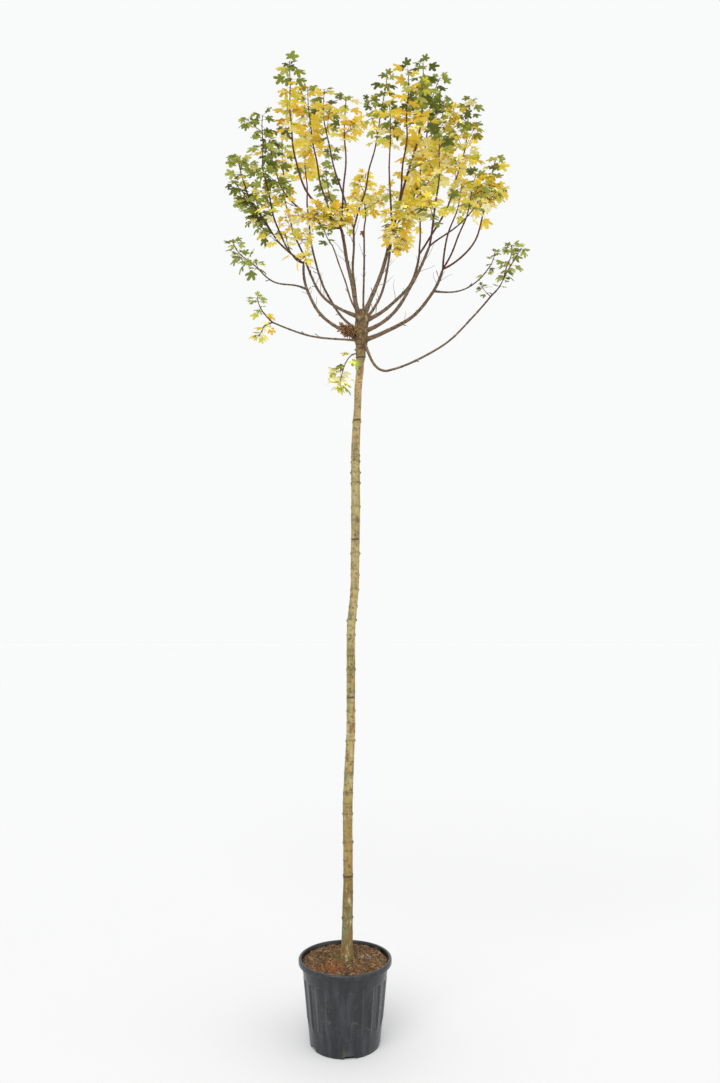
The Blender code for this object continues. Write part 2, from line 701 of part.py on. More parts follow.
def shoots_of(mass, start, heading_dir):
    """Centre lines of a mass's stem stub and shoots: (path, radii, sides)."""
    stub = [start, start + heading_dir * STEM_LENGTH * 0.5, start + heading_dir * STEM_LENGTH]
    fork = start + heading_dir * STEM_LENGTH * 0.55
    lines = {}
    for row in MASSES[mass]:
        if row.parent == "tip":
            begin = fork
        else:
            begin = path_point(lines[row.parent][0], row.at)[0]
        course = limb_path(begin, row, 24)
        total = path_length(course)
        rings = max(4, int(round(total / SHOOT_STEP)) + 1)
        wood = 1.0 - min(TIP_LEAF * row.leaf ** 2 / total, 0.3)
        path = [path_point(course, wood * k / (rings - 1))[0] for k in range(rings)]
        radii = [shoot_radius(row.thick, k / (rings - 1)) for k in range(rings)]
        lines[row.name] = (path, radii, row)
    return stub, lines


def leaf_places(path, bare, chooser, side_twigs):
    """Leaf pairs set crosswise up a shoot, with a side twig now and then."""
    total = path_length(path)
    run = max(FIRST_PAIR, total * bare)
    angle = chooser.uniform(0.0, 180.0)
    places = []
    twigs = []
    pair = 0
    while run < total * 0.985:
        share = run / total
        point, along = path_point(path, share)
        side = along.orthogonal().normalized()
        other = along.cross(side)
        for flip in (0.0, 180.0):
            turn = math.radians(angle + flip + chooser.uniform(-14.0, 14.0))
            spoke = side * math.cos(turn) + other * math.sin(turn)
            places.append((point, along, spoke, share))
        if side_twigs and pair % SIDE_TWIG_EVERY == 2 and share < 0.62:
            turn = math.radians(angle + 90.0 + chooser.uniform(-25.0, 25.0))
            twigs.append((point, along, side * math.cos(turn) + other * math.sin(turn), share))
        angle += 90.0
        pair += 1
        run += INTERNODE * (1.0 - INTERNODE_SHRINK * share) * chooser.uniform(0.88, 1.12)
    places.append((path[-1] - (path[-1] - path[-2]).normalized() * 0.003, None, None, 1.0))
    return places, twigs


def leaf_frame(along, spoke, share, chooser):
    """Blade direction and width direction: level to drooping, leaning up the shoot."""
    if along is None:
        ahead = Vector((chooser.uniform(-0.5, 0.5), chooser.uniform(-0.5, 0.5), 1.0)).normalized()
    else:
        lean = chooser.uniform(0.25, 0.70)
        ahead = spoke + along * lean
        ahead.z = ahead.z * 0.5 + chooser.uniform(-0.80, 0.10)
        ahead.normalize()
    up = Vector((chooser.uniform(-0.8, 0.8), chooser.uniform(-0.8, 0.8), 1.0))
    across = ahead.cross(up).normalized()
    return ahead, across


def leaf_length(share, scale, chooser):
    size = LEAF_LENGTH + (LEAF_LENGTH_TIP - LEAF_LENGTH) * max(0.0, share - 0.35) / 0.65
    return size * scale * chooser.uniform(0.84, 1.08)


class Room:
    """What is already standing in the crown, to keep every new leaf clear of it."""

    def __init__(self):
        self.limbs = []
        self.leaves = {}

    def add_limb(self, key, verts, faces):
        self.limbs.append((key, BVHTree.FromPolygons([tuple(v) for v in verts], faces)))

    def cell(self, point):
        return tuple(int(math.floor(c / 0.12)) for c in point)

    def add_leaf(self, centre, verts, faces):
        tree = BVHTree.FromPolygons([tuple(v) for v in verts], faces)
        self.leaves.setdefault(self.cell(centre), []).append((centre.copy(), tree))

    def clears_limbs(self, own, blade, whole):
        """The blade clears its own shoot; stalk and blade clear every other limb."""
        near = BVHTree.FromPolygons([tuple(v) for v in blade[0]], blade[1])
        full = BVHTree.FromPolygons([tuple(v) for v in whole[0]], whole[1])
        for key, limb in self.limbs:
            if limb.overlap(near if key == own else full):
                return False
        return True

    def clears_leaves(self, centre, verts, faces):
        probe = BVHTree.FromPolygons([tuple(v) for v in verts], faces)
        cx, cy, cz = self.cell(centre)
        for dx in (-1, 0, 1):
            for dy in (-1, 0, 1):
                for dz in (-1, 0, 1):
                    for place, tree in self.leaves.get((cx + dx, cy + dy, cz + dz), ()):
                        if (place - centre).length < 0.13 and tree.overlap(probe):
                            return False
        return True


def fat_tube(path, radii, sides):
    return tube_mesh(path, [r * 1.1 + LEAF_CLEAR * 0.5 for r in radii], sides)


def grow_shoot_leaves(path, bare, scale, room, chooser, joined, own, tag, side_twigs):
    """Leaves of one shoot; a leaf without room is turned, shortened, at last left out."""
    places, twigs = leaf_places(path, bare, chooser, side_twigs)
    made = 0
    for spot, (point, along, spoke, share) in enumerate(places):
        for attempt in range(LEAF_TRIES):
            ahead, across = leaf_frame(along, spoke, share, chooser)
            length = leaf_length(share, scale, chooser) * (1.0 - 0.09 * attempt)
            centre = point + ahead * length * 0.62
            plain = length < PLAIN_LEAF
            blade = leaf_mesh(point, ahead, across, length, plain, LEAF_CLEAR, 0.20)
            whole = leaf_mesh(point, ahead, across, length, plain, LEAF_CLEAR, 0.06)
            if room.clears_limbs(own, blade, whole) and room.clears_leaves(centre, *whole):
                verts, faces = leaf_mesh(point, ahead, across, length, plain)
                shift = (along if along is not None else Vector((0.0, 0.0, 0.0)))
                shift = shift * (0.0009 if spot % 2 else -0.0009)
                verts = [v + shift for v in verts]
                make_object(f"{tag}_{spot}", verts, faces, joined)
                room.add_leaf(centre, verts, faces)
                made += 1
                break
    return made, twigs


def make_mass(name, start, heading_dir, stub, lines, parts, room, seed):
    chooser = random.Random(seed)
    joined = bpy.data.collections.new("growth_" + name)
    stem_thick = max(lines[key][1][0] for key in lines)
    sizes = [stem_thick * 1.15, stem_thick * 1.1, stem_thick * 0.9]
    verts, faces = tube_mesh(stub, sizes, 5, first=heading_dir, last=heading_dir)
    base = make_object("foliage_" + name, verts, faces, parts)
    count = 0
    for key, (path, radii, row) in lines.items():
        verts, faces = tube_mesh(path, radii, SHOOT_SIDES, turn=chooser.uniform(0.0, 2.0))
        make_object(f"{name}_{key}", verts, faces, joined)
    for key, (path, radii, row) in lines.items():
        made, twigs = grow_shoot_leaves(
            path, row.bare, row.leaf, room, chooser, joined, (name, key), f"{name}_{key}",
            path_length(path) > 0.35,
        )
        count += made
        for n, (point, along, spoke, share) in enumerate(twigs):
            reach = SIDE_TWIG_LENGTH * chooser.uniform(0.7, 1.15)
            end = point + (spoke * 0.85 + along * 0.55).normalized() * reach + Vector((0, 0, 0.02))
            middle = point.lerp(end, 0.5) - Vector((0.0, 0.0, 0.006))
            twig = [point, middle, end]
            sizes = [0.0017, 0.0014, 0.0010]
            verts, faces = fat_tube([point.lerp(end, 0.15), middle, end], sizes, 3)
            if not room.clears_limbs(None, (verts, faces), (verts, faces)):
                continue
            if not room.clears_leaves(middle, verts, faces):
                continue
            verts, faces = tube_mesh(twig, sizes, SHOOT_SIDES)
            make_object(f"{name}_{key}_twig_{n}", verts, faces, joined)
            room.add_leaf(middle, verts, faces)
            made, _ = grow_shoot_leaves(
                twig, 0.45, row.leaf, room, chooser, joined, (name, key),
                f"{name}_{key}_{n}", False,
            )
            count += made
    return base, joined, count


def join_mass(base, joined):
    """One fusion of stem, shoots and leaves; its loose pieces are then taken away."""
    run_boolean(base, "UNION", collection=joined)
    for piece in list(joined.objects):
        mesh = piece.data
        bpy.data.objects.remove(piece, do_unlink=True)
        bpy.data.meshes.remove(mesh)
    bpy.data.collections.remove(joined)
    keep_outer_body(base)


def trunk_twig_lines():
    """The young twig out of the bole: a short arch that hangs over."""
    across, radius = trunk_at(TWIG_HEIGHT)
    start = Vector((across, 0.0, TWIG_HEIGHT))
    row = Shoot("leader", "tip", 0, TWIG_HEADING, 5, TWIG_REACH, TWIG_TOP, -80, 0.0022, 0.4, 0.8)
    path = limb_path(start, row, 5)
    radii = [shoot_radius(row.thick, k / 4) for k in range(5)]
    return start, path, radii


def main():
    clear_scene()
    scene = bpy.context.scene
    parts = bpy.data.collections.new("field_maple")
    cutters = bpy.data.collections.new("cutters")
    scene.collection.children.link(parts)
    scene.collection.children.link(cutters)
    plastic = make_material("pot_black", POT_COLOUR, 0.45)
    compost = make_material("bark_compost", SOIL_COLOUR, 0.95)
    bark = make_material("bark_olive", BARK_COLOUR, 0.80)
    wood = make_material("bough_bark", LIMB_COLOUR, 0.80)
    scales = make_material("spur_brown", SPUR_COLOUR, 0.90)
    gold = make_material("leaf_gold", GOLD_COLOUR, 0.60)
    green = make_material("leaf_green", GREEN_COLOUR, 0.60)

    finish(make_pot(parts, cutters), "pot", plastic, 32.0)
    finish(make_soil(parts), "soil", compost, 60.0)
    verts, faces = trunk_mesh(0.0)
    finish(make_object("trunk", verts, faces, parts), "trunk", bark, 60.0)

    paths = limb_paths()
    limbs, trimmer = make_limbs(parts, cutters, paths)
    for name, limb in limbs.items():
        finish(limb, "bough_" + name, wood, 50.0)
    finish(make_spurs(parts, trimmer, limbs), "spur_cluster", scales, 35.0)

    room = Room()
    room.add_limb("trunk", *trunk_mesh(LEAF_CLEAR * 0.5))
    for row in BOUGHS + BRANCHES:
        room.add_limb(row.name, *limb_mesh(row, paths, LEAF_CLEAR * 0.5))
    grown = {}
    for name in MASSES:
        ahead = tangents(paths[name])[-1]
        start = paths[name][-1] + ahead * CLEARANCE
        stub, lines = shoots_of(name, start, ahead)
        for key, (path, radii, row) in lines.items():
            room.add_limb((name, key), *fat_tube(path, radii, 4))
        grown[name] = (start, ahead, stub, lines)
    begin, twig, sizes = trunk_twig_lines()
    room.add_limb("trunk_twig", *fat_tube(twig, sizes, 4))

    total = 0
    for number, name in enumerate(MASSES):
        start, ahead, stub, lines = grown[name]
        base, joined, count = make_mass(
            name, start, ahead, stub, lines, parts, room, SEED * 100 + number,
        )
        join_mass(base, joined)
        finish(base, "foliage_" + name, green if name in GREEN_MASSES else gold, 25.0)
        total += count
        print(name, "leaves", count, "triangles", len(base.data.polygons))

    chooser = random.Random(SEED + 11)
    joined = bpy.data.collections.new("growth_trunk_twig")
    verts, faces = tube_mesh(twig, sizes, SHOOT_SIDES)
    base = make_object("foliage_trunk_twig", verts, faces, parts)
    count, _ = grow_shoot_leaves(
        twig, 0.2, 0.95, room, chooser, joined, "trunk_twig", "trunk_twig", False,
    )
    join_mass(base, joined)
    run_boolean(base, "DIFFERENCE", operand=trimmer)
    keep_outer_body(base)
    finish(base, "foliage_trunk_twig", green, 25.0)
    print("leaves in all", total + count)


main()
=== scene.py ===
import math

import bpy
import numpy as np
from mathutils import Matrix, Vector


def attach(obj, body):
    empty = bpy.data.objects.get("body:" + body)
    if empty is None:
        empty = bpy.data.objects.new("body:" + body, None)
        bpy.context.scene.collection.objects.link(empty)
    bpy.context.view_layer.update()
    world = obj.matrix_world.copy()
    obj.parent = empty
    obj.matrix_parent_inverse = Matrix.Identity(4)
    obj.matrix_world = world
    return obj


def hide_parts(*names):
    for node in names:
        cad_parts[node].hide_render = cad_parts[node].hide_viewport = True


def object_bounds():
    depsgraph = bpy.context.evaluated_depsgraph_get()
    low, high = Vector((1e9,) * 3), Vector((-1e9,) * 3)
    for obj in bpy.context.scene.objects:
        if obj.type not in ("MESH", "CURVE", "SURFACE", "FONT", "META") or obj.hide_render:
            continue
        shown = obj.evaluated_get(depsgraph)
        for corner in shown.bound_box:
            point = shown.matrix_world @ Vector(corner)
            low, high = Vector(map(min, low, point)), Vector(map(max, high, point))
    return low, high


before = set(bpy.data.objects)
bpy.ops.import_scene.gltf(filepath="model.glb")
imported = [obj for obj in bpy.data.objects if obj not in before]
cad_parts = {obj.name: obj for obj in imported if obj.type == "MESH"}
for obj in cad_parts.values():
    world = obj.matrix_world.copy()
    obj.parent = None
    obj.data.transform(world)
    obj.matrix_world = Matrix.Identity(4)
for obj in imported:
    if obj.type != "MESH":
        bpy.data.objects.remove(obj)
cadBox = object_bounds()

# Field maple, a top-grafted standard in a black nursery pot, metres, +Z up.
# The crown grows from the boughs by one seeded rule: shoots, side twigs, crosswise leaf pairs.

scene = bpy.context.scene
foliageNodes = sorted(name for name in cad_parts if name.startswith("foliage_"))
boughNodes = sorted(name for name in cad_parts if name.startswith("bough_"))
fullTurn = 2.0 * math.pi
upward = np.array([0.0, 0.0, 1.0])
noTriangles = np.zeros((0, 3), int)


# unit direction of a compass heading (0 = +X, 90 = +Y) at a rise above level, degrees
def compass(heading, rise):
    turn, lift = np.radians(heading), np.radians(rise)
    return np.stack([np.cos(turn) * np.cos(lift), np.sin(turn) * np.cos(lift), np.sin(lift)], -1)


# vectors divided by their own length
def unit(vectors):
    return vectors / np.maximum(np.linalg.norm(vectors, axis=-1, keepdims=True), 1e-12)


# equal steps of a full turn, the last left out
def roundAngles(count):
    return np.linspace(0.0, fullTurn, count, endpoint=False)


# spokes round an axis: cosine x side + sine x other, for every row and angle
def spokesRound(side, other, angle):
    return side[:, None] * np.cos(angle)[None, :, None] + other[:, None] * np.sin(angle)[None, :, None]


# points round an upright axis: radius x (cosine, sine) of the angle, moved sideways, at a height
def roundPoints(radius, angle, height, across=0.0):
    return np.stack(np.broadcast_arrays(across + radius * np.cos(angle), radius * np.sin(angle), height), -1)


# bell: e to the minus (value / wide) squared, minus (other / otherWide) squared
def bell(value, wide, other=0.0, otherWide=1.0):
    return np.exp(-(value / wide) ** 2 - (other / otherWide) ** 2)


# eased step from 0 at low to 1 at high: 3t^2 - 2t^3 of the clipped share
def easedStep(low, high, value):
    share = np.clip((value - low) / (high - low), 0.0, 1.0)
    return share * share * (3.0 - 2.0 * share)


# smooth noise in -1..1: random heights on a lattice, eased between the four corners round each
# point; it wraps after `cells` steps across and never repeats along
def latticeNoise(across, along, cells, seed, depth=2048):
    table = np.random.default_rng(seed).uniform(-1.0, 1.0, (cells, depth))
    across, along = np.broadcast_arrays(across * cells, along)
    column, row = np.floor(across).astype(int), np.floor(along).astype(int)
    s, t = easedStep(0.0, 1.0, across - column), easedStep(0.0, 1.0, along - row)
    left, right, low, high = column % cells, (column + 1) % cells, row % depth, (row + 1) % depth
    below = table[left, low] * (1 - s) + table[right, low] * s
    return below * (1 - t) + (table[left, high] * (1 - s) + table[right, high] * s) * t


# quads of a grid with `rows` x `columns` points, closed across where wrap is true
def gridQuads(rows, columns, wrap=True):
    r, c = np.meshgrid(np.arange(rows - 1), np.arange(columns if wrap else columns - 1), indexing="ij")
    n = (c + 1) % columns
    quads = np.stack([r * columns + c, r * columns + n, (r + 1) * columns + n, (r + 1) * columns + c], -1)
    return quads.reshape(-1, 4)


# fans that close a tube's first and last ring on the two points that follow its rings
def endCaps(rows, columns):
    ring = np.arange(columns)
    after, pole, last = (ring + 1) % columns, np.full(columns, rows * columns), (rows - 1) * columns
    return np.concatenate([np.stack([after, ring, pole], -1), np.stack([last + ring, last + after, pole + 1], -1)])


# several (points, quads, triangles) shapes as one, each with its own points
def joined(shapes):
    lows = np.cumsum([0] + [len(shape[0]) for shape in shapes[:-1]])
    quads, triangles = (np.concatenate([shape[k] + low for shape, low in zip(shapes, lows)]) for k in (1, 2))
    return np.concatenate([shape[0] for shape in shapes]), quads, triangles


# a copy of one small template shape for every set of points: arrays (copies, points, 3)
def repeated(points, quads, triangles=noTriangles):
    steps = (np.arange(len(points)) * (points[0].size // 3))[:, None, None]
    return points.reshape(-1, 3), (quads[None] + steps).reshape(-1, 4), (triangles[None] + steps).reshape(-1, 3)


# puts a shape into a new piece that rides on the one body and stands for the given CAD nodes
def makePiece(name, shape, material, nodes, smoothFaces=True, marks=None):
    points, quads, triangles = shape
    mesh = bpy.data.meshes.new(name)
    corners = np.concatenate([quads.ravel(), triangles.ravel()]).astype(np.int32)
    starts = np.concatenate([np.arange(len(quads)) * 4, len(quads) * 4 + np.arange(len(triangles)) * 3])
    mesh.vertices.add(len(points))
    mesh.loops.add(len(corners))
    mesh.polygons.add(len(starts))
    mesh.vertices.foreach_set("co", points.astype(np.float32).ravel())
    mesh.loops.foreach_set("vertex_index", corners)
    mesh.polygons.foreach_set("loop_start", starts.astype(np.int32))
    mesh.polygons.foreach_set("use_smooth", np.full(len(starts), smoothFaces))
    mesh.update(calc_edges=True)
    for label, values in (marks or {}).items():
        mesh.attributes.new(label, "FLOAT", "POINT").data.foreach_set("value", values.astype(np.float32).ravel())
    mesh.validate()
    mesh.materials.append(material)
    piece = bpy.data.objects.new(name, mesh)
    scene.collection.objects.link(piece)
    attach(piece, "root")
    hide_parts(*nodes)
    print(f"piece {name}: {len(points)} points, {len(quads) * 2 + len(triangles)} triangles")


# finishes: two shared node groups, and what every material is put together from
def addNode(tree, kind, values=None, **settings):
    node = tree.nodes.new(kind)
    for key, value in settings.items():
        setattr(node, key, value)
    for key, value in (values or {}).items():
        node.inputs[key].default_value = value
    return node


# links each start socket to its end socket
def wire(tree, *pairs):
    for start, end in pairs:
        tree.links.new(start, end)


# links a socket into another, or sets it to a plain number or tone
def feed(tree, target, value):
    if isinstance(value, bpy.types.NodeSocket):
        tree.links.new(value, target)
    else:
        target.default_value = (*value, 1.0) if target.type == "RGBA" else value


# begins a group that lays a second tone over a first: a texture reads the stretched place, and
# an eased step turns it into the mask that mixes the tones
def layerGroup(name, texture, secondLabel, secondTone, scale, numbers, outputs):
    group = bpy.data.node_groups.new(name, "ShaderNodeTree")
    inputs = {"Vector": None, "Tone": (0.2, 0.2, 0.2, 1), secondLabel: secondTone, "Scale": scale,
              "Stretch": (1.0, 1.0, 1.0), **numbers}
    for label, value in inputs.items():
        kind = "Color" if "Tone" in label else "Float" if isinstance(value, float) else "Vector"
        socket = group.interface.new_socket(name=label, in_out="INPUT", socket_type="NodeSocket" + kind)
        if value is not None:
            socket.default_value = value
    for label in outputs:
        kind = "Color" if label == "Color" else "Float"
        group.interface.new_socket(name=label, in_out="OUTPUT", socket_type="NodeSocket" + kind)
    entry, leave = group.nodes.new("NodeGroupInput").outputs, group.nodes.new("NodeGroupOutput").inputs
    pattern = addNode(group, *texture)
    stretch = addNode(group, "ShaderNodeVectorMath", operation="MULTIPLY")
    step = addNode(group, "ShaderNodeMapRange", interpolation_type="SMOOTHSTEP")
    blend = addNode(group, "ShaderNodeMix", data_type="RGBA")
    wire(group, (entry["Vector"], stretch.inputs[0]), (entry["Stretch"], stretch.inputs[1]),
         (stretch.outputs[0], pattern.inputs["Vector"]), (entry["Scale"], pattern.inputs["Scale"]),
         (step.outputs["Result"], blend.inputs["Factor"]), (entry["Tone"], blend.inputs["A"]),
         (entry[secondLabel], blend.inputs["B"]), (blend.outputs["Result"], leave["Color"]),
         (step.outputs["Result"], leave["Mask"]))
    return group, entry, leave, pattern, step


# two tones mixed by stretched noise: the step runs from Share - Softness to Share + Softness
def makeMottle():
    group, entry, leave, noise, step = layerGroup(
        "mottle", ("ShaderNodeTexNoise", {"Detail": 6.0, "Roughness": 0.6}), "Second Tone", (0.1, 0.1, 0.1, 1),
        20.0, {"Share": 0.5, "Softness": 0.2}, ("Color", "Mask", "Height"))
    for operation, end in (("SUBTRACT", "From Min"), ("ADD", "From Max")):
        edge = addNode(group, "ShaderNodeMath", operation=operation)
        wire(group, (entry["Share"], edge.inputs[0]), (entry["Softness"], edge.inputs[1]),
             (edge.outputs[0], step.inputs[end]))
    wire(group, (noise.outputs["Fac"], step.inputs["Value"]), (noise.outputs["Fac"], leave["Height"]))
    return group


# round specks of a second tone where the distance to the nearest cell point is under Size
def makeSpecks():
    group, entry, leave, cells, step = layerGroup(
        "specks", ("ShaderNodeTexVoronoi",), "Speck Tone", (0.5, 0.5, 0.5, 1), 200.0, {"Size": 0.25},
        ("Color", "Mask"))
    step.inputs["To Min"].default_value, step.inputs["To Max"].default_value = 1.0, 0.0
    inner = addNode(group, "ShaderNodeMath", {1: 0.55}, operation="MULTIPLY")
    wire(group, (entry["Size"], inner.inputs[0]), (cells.outputs["Distance"], step.inputs["Value"]),
         (inner.outputs[0], step.inputs["From Min"]), (entry["Size"], step.inputs["From Max"]))
    return group


mottle, specks = makeMottle(), makeSpecks()


# a plain finish in one tone, and the object coordinates that its textures read
def newMaterial(name, roughness, tone=(0.5, 0.5, 0.5), gloss=0.25):
    material = bpy.data.materials.new(name)
    material.use_nodes = True
    tree = material.node_tree
    shader = tree.nodes["Principled BSDF"]
    shader.inputs["Roughness"].default_value = roughness
    shader.inputs["Specular IOR Level"].default_value = gloss
    shader.inputs["Base Color"].default_value = material.diffuse_color = (*tone, 1.0)
    return material, tree, shader, addNode(tree, "ShaderNodeTexCoord").outputs["Object"]


# one node of a shared group, its sockets linked or set
def placeGroup(tree, group, place, values):
    node = addNode(tree, "ShaderNodeGroup", node_tree=group)
    for key, value in {"Vector": place, **values}.items():
        feed(tree, node.inputs[key], value)
    return node.outputs


# a tone broken by patches of a second tone; share 0.5 splits them evenly, more leaves fewer patches
def mottled(tree, place, scale, share, softness, tone=(0.2,) * 3, second=(0.1,) * 3, stretch=(1.0,) * 3):
    return placeGroup(tree, mottle, place, {"Tone": tone, "Second Tone": second, "Scale": scale,
                                            "Stretch": stretch, "Share": share, "Softness": softness})


# a tone with small specks of another
def speckled(tree, place, scale, size, tone, speck, stretch=(1.0,) * 3):
    return placeGroup(tree, specks, place, {"Tone": tone, "Speck Tone": speck, "Scale": scale,
                                            "Stretch": stretch, "Size": size})["Color"]


# relief by shading alone: height x distance, on top of a bump that came before
def addBump(tree, shader, height, strength, distance, before=None):
    bump = addNode(tree, "ShaderNodeBump", {"Strength": strength, "Distance": distance})
    wire(tree, (height, bump.inputs["Height"]), (bump.outputs["Normal"], shader.inputs["Normal"]))
    if before is not None:
        tree.links.new(before, bump.inputs["Normal"])
    return bump.outputs["Normal"]


# a mix of two colours by a mask, each a socket or a plain colour
def mixTones(tree, mask, first, second):
    blend = addNode(tree, "ShaderNodeMix", data_type="RGBA")
    for label, value in (("Factor", mask), ("A", first), ("B", second)):
        feed(tree, blend.inputs[label], value)
    return blend.outputs["Result"]


# the mesh's own point values, such as how deep in a scar a point lies
def pointMark(tree, label):
    return addNode(tree, "ShaderNodeAttribute", attribute_name=label).outputs["Fac"]


# a value moved from one range to another, eased or straight
def rangeOf(tree, value, limits, **settings):
    spread = addNode(tree, "ShaderNodeMapRange", limits, **settings)
    tree.links.new(value, spread.inputs["Value"])
    return spread.outputs["Result"]


# roughness between two values by a mask
def varyRoughness(tree, shader, mask, low, high):
    tree.links.new(rangeOf(tree, mask, {"To Min": low, "To Max": high}), shader.inputs["Roughness"])


# camera, floor and light
studio = {
    "cameraPlace": (0.0548, -3.2259, 1.5286),
    "pitchUp": 5.563,
    "focalPixels": 835.0,                # focal length in pixels of a picture as tall as imageTall
    "imageTall": 1083.0,
    "sensor": 36.0,
    "floorTone": (0.686, 0.686, 0.680),
    "floorReach": 60.0,
    "wallTone": (0.950, 0.957, 0.955),   # the air as the camera sees it
    "airTone": (0.98, 0.99, 1.0),        # the air as a light
    "airStrength": 0.93,
    "suns": {                            # heading and height it comes from, strength, softness in degrees
        "keyLight": (-108.0, 44.0, 1.62, 48.0),
        "fillLight": (-35.0, 30.0, 0.72, 70.0),
    },
}


# puts an object in the scene at a place, turned by degrees
def setUp(name, data, place=(0.0, 0.0, 0.0), turns=(0.0, 0.0, 0.0)):
    thing = bpy.data.objects.new(name, data)
    thing.location, thing.rotation_euler = place, np.radians(turns)
    scene.collection.objects.link(thing)
    return thing


# focal length in millimetres: focal pixels / picture height x sensor width; each sun is turned to
# its heading and height
def makeStudio():
    lens = bpy.data.cameras.new("studioCamera")
    lens.sensor_width = studio["sensor"]
    lens.lens = studio["focalPixels"] / studio["imageTall"] * studio["sensor"]
    scene.camera = setUp("studioCamera", lens, studio["cameraPlace"], (90.0 + studio["pitchUp"], 0.0, 0.0))
    scene.world = air = bpy.data.worlds.new("studioAir")
    air.use_nodes = True
    tree = air.node_tree
    light = tree.nodes["Background"]
    light.inputs["Color"].default_value = (*studio["airTone"], 1.0)
    light.inputs["Strength"].default_value = studio["airStrength"]
    wall = addNode(tree, "ShaderNodeBackground", {"Color": (*studio["wallTone"], 1.0)})
    choose = addNode(tree, "ShaderNodeMixShader")
    seen = addNode(tree, "ShaderNodeLightPath").outputs["Is Camera Ray"]
    wire(tree, (seen, choose.inputs["Fac"]), (light.outputs[0], choose.inputs[1]),
         (wall.outputs[0], choose.inputs[2]), (choose.outputs[0], tree.nodes["World Output"].inputs["Surface"]))
    scene.view_settings.view_transform = "Standard"
    for name, (heading, height, strength, softness) in studio["suns"].items():  # a lamp's Z points back to its sun
        data = bpy.data.lights.new(name, "SUN")
        data.energy, data.angle = strength, math.radians(softness)
        setUp(name, data, turns=(90.0 - height, 0.0, heading + 90.0))
    reach = studio["floorReach"]
    mesh = bpy.data.meshes.new("studioFloor")
    corners = [(-reach, -reach, 0), (reach, -reach, 0), (reach, reach, 0), (-reach, reach, 0)]
    mesh.from_pydata(corners, [], [(0, 1, 2, 3)])
    mesh.materials.append(newMaterial("studioFloor", 0.9, studio["floorTone"])[0])
    floor = setUp("studioFloor", mesh)
    print("camera, lights and floor set")


makeStudio()


# pot
potShape = {
    "height": 0.298, "baseRadius": 0.1284, "collarRadius": 0.1535, "neckRadius": 0.1600,
    "rimRadius": 0.1723, "rimTall": 0.018, "collarTall": 0.044, "boreTop": 0.1535,
    "flutes": 22, "fluteDepth": 0.0038, "fluteFoot": 0.062, "drains": 5, "drainWide": 0.040,
    "drainTall": 0.0105, "drainFirst": -81.0, "columns": 440, "boreRows": 8, "footRows": 9,
}


# profile (radius, height, flute weight, drain weight) from under the foot round the rim to the floor
def potProfile(p):
    top, base, neck, rim, wide = (p[key] for key in ("height", "baseRadius", "neckRadius", "rimRadius", "collarRadius"))
    rimFoot = top - p["rimTall"]
    low = rimFoot - p["collarTall"]

    def wall(z):
        return base + (wide - base) / low * z

    def arc(r, z, across, tall, first, last, count):
        return [(r + across * math.cos(a), z + tall * math.sin(a)) for a in np.radians(np.linspace(first, last, count))]

    weights, climb = np.linspace(0.0, 1.0, 10), np.linspace(0.0, 1.0, 12)
    under = [(r, 0.0) for r in (0.0005, 0.030, 0.060, 0.090, 0.1190)]
    drained = [(r, 0.0, 0.0, 1.0) for r in (0.1200, 0.1225, 0.1245, base - 0.002)]
    drained += [(wall(z) - d, z, 0.0, 1.0) for z, d in ((0.0006, 0.0006), (0.0022, 0.0))]
    side = [(wall(z), z) for z in (0.0096, 0.012, 0.020, 0.035, 0.050)]
    side += [(wall(z) - 0.0002 * w, z, w) for z, w in zip(p["fluteFoot"] + 0.024 * weights, weights ** 1.5)]
    side += [(wall(z) - 0.0002 - 0.0008 * w, z, 1.0) for z, w in zip(np.linspace(0.094, low - 0.006, 12), climb)]
    side += [(wall(low) - 0.0026, low - 0.0030, 0.9), (wall(low) - 0.0022, low - 0.0018, 0.5),
             (wall(low) - 0.0006, low - 0.0010), (wide, low), (wide + 0.0004, low + 0.0015)]
    side += [(wide + 0.0004 + (neck - wide - 0.0006) * s, low + p["collarTall"] * s) for s in np.linspace(0.1, 0.96, 9)]
    lip = [(neck + 0.0002, rimFoot - 0.0002), (neck + 0.0030, rimFoot + 0.0001), (rim - 0.0030, rimFoot + 0.0003)]
    lip += arc(rim - 0.0020, rimFoot + 0.0024, 0.0020, 0.0021, -80, 0, 6)
    lip += [(rim, rimFoot + z) for z in (0.0060, 0.0095)] + arc(rim - 0.0050, top - 0.0050, 0.0050, 0.0050, 0, 90, 8)
    lip += arc(rim - 0.0080, top - 0.0030, 0.0030, 0.0030, 95, 175, 6)
    bore = [(p["boreTop"] + 0.0062 - 0.0062 * s, top - 0.0075 - 0.0205 * s) for s in (0.0, 0.5, 1.0)]
    bore += [(0.1515, 0.245), (0.1235, 0.012), (0.118, 0.007), (0.0005, 0.007)]
    return np.array([(*row, 0.0, 0.0)[:4] for row in under + drained + side + lip + bore])


